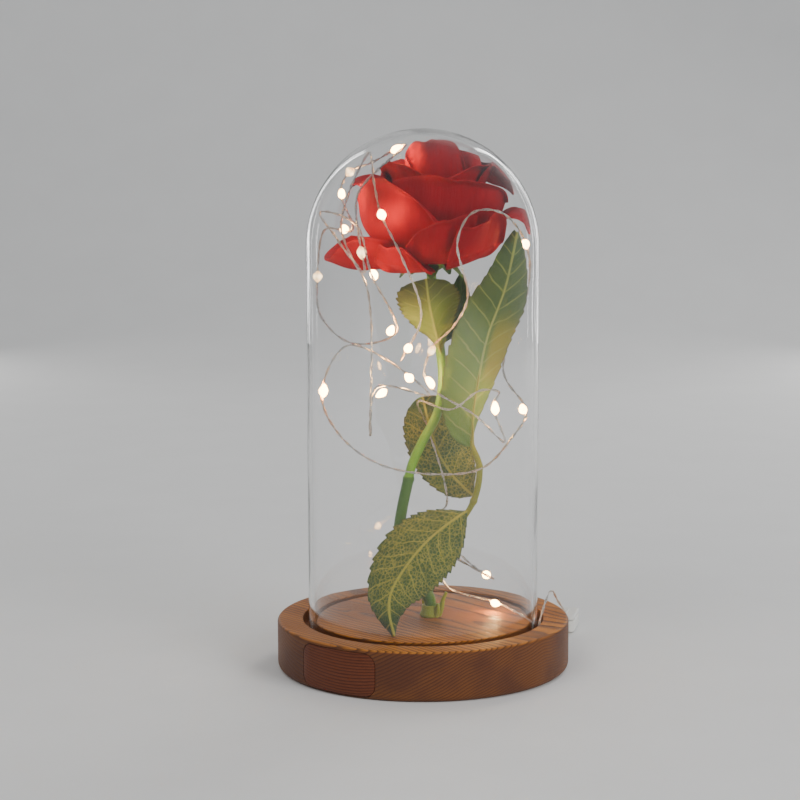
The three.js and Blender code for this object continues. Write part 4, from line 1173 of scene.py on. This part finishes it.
paint = Paint("case_plastic")
grain = paint.noise(paint.place((2.2, 2.2, 2.2)), 3.0)
dust = paint.noise(paint.place((0.05, 0.05, 0.05)), 3.0)
shell = paint.mix(dust, (0.78, 0.76, 0.70), (0.86, 0.85, 0.81))
case_finish = paint.done(paint.shader(Base_Color=shell, Roughness=0.38 + 0.15 * grain,
                                      Normal=paint.bump(grain, 0.05)))

finished(wire, wire_finish, ["light_wire"])
for number, lamp in enumerate(lamps, start=1):
    finished(lamp, lamp_dim if number in DIM_LAMPS else lamp_lit, [f"lamp_{number:02d}"], 80)
for part, node in zip(case_parts, ("battery_case", "case_lid", "case_switch")):
    finished(part, case_finish, [node])
print("light string finished")

# %% [markdown]
# The studio is plain: a pale floor that curves up behind into a backdrop. Two large soft lights stand in
# front, one high at the left and a stronger one lower at the right, and a third from behind lights the
# edges of the petals. Two thin strips behind are there to be seen: they draw the sides of the glass. The
# surroundings are a middle grey rather than white, because clear glass shows only what it bends and
# mirrors.

# %% Floor
HALF_ROOM, FLOOR_FRONT, FLOOR_BACK, SWEEP_RADIUS, WALL_HEIGHT = 2200, -2200, 1000, 600, 2200
sweep = np.concatenate([
    [[FLOOR_FRONT, 0]], arc(FLOOR_BACK, SWEEP_RADIUS, SWEEP_RADIUS, -90, 0, 16),
    [[FLOOR_BACK + SWEEP_RADIUS, WALL_HEIGHT]],
])
ends = np.tile([-HALF_ROOM, HALF_ROOM], len(sweep))
floor_points = np.stack([ends, *np.repeat(sweep, 2, axis=0).T], axis=-1)
floor = mesh_object("studio_floor", floor_points, quads(len(sweep), 2))
floor.data.polygons.foreach_set("use_smooth", np.ones(len(floor.data.polygons), dtype=bool))
paint = Paint("studio_paper")
paper = paint.mix(paint.noise(paint.place((0.02, 0.02, 0.02)), 3.0), (0.80, 0.79, 0.77), (0.85, 0.84, 0.82))
floor.data.materials.append(paint.done(paint.shader(Base_Color=paper, Roughness=0.7)))
print("floor of", len(floor.data.polygons), "faces")

# %% Lights
LIT_AT = Vector((0, 0, 0.12))
world = bpy.data.worlds.new("studio")
bpy.context.scene.world = world
world.use_nodes = True
surroundings = world.node_tree.nodes["Background"].inputs
surroundings["Color"].default_value, surroundings["Strength"].default_value = (0.80, 0.84, 0.90, 1.0), 0.42


def softbox(name, place, size, power, colour=(1.0, 1.0, 1.0), mirrored=False):
    """A rectangular light that faces the rose. Only some of them show as a reflection in the glass."""
    light = bpy.data.lights.new(name, "AREA")
    light.shape, light.size, light.size_y, light.energy, light.color = "RECTANGLE", *size, power, colour
    obj = bpy.data.objects.new(name, light)
    obj.visible_glossy = obj.visible_transmission = mirrored
    bpy.context.scene.collection.objects.link(obj)
    way = LIT_AT - Vector(place)
    obj.matrix_world = Matrix.Translation(place) @ way.to_track_quat("-Z", "Y").to_matrix().to_4x4()


softbox("key", (-0.8, -1.0, 1.4), (0.9, 0.9), 8.0, (1.0, 0.98, 0.95))
softbox("fill", (1.0, -1.0, 0.7), (0.7, 0.9), 13.0, (0.96, 0.98, 1.0))
softbox("edge", (0.6, 0.9, 0.9), (0.3, 0.9), 4.0)
softbox("left rim", (-0.44, 1.0, 0.4), (0.05, 0.8), 0.65, mirrored=True)
softbox("right rim", (0.42, 1.0, 0.4), (0.05, 0.8), 0.65, mirrored=True)
print("studio ready")

# %% Done
print("scene built")
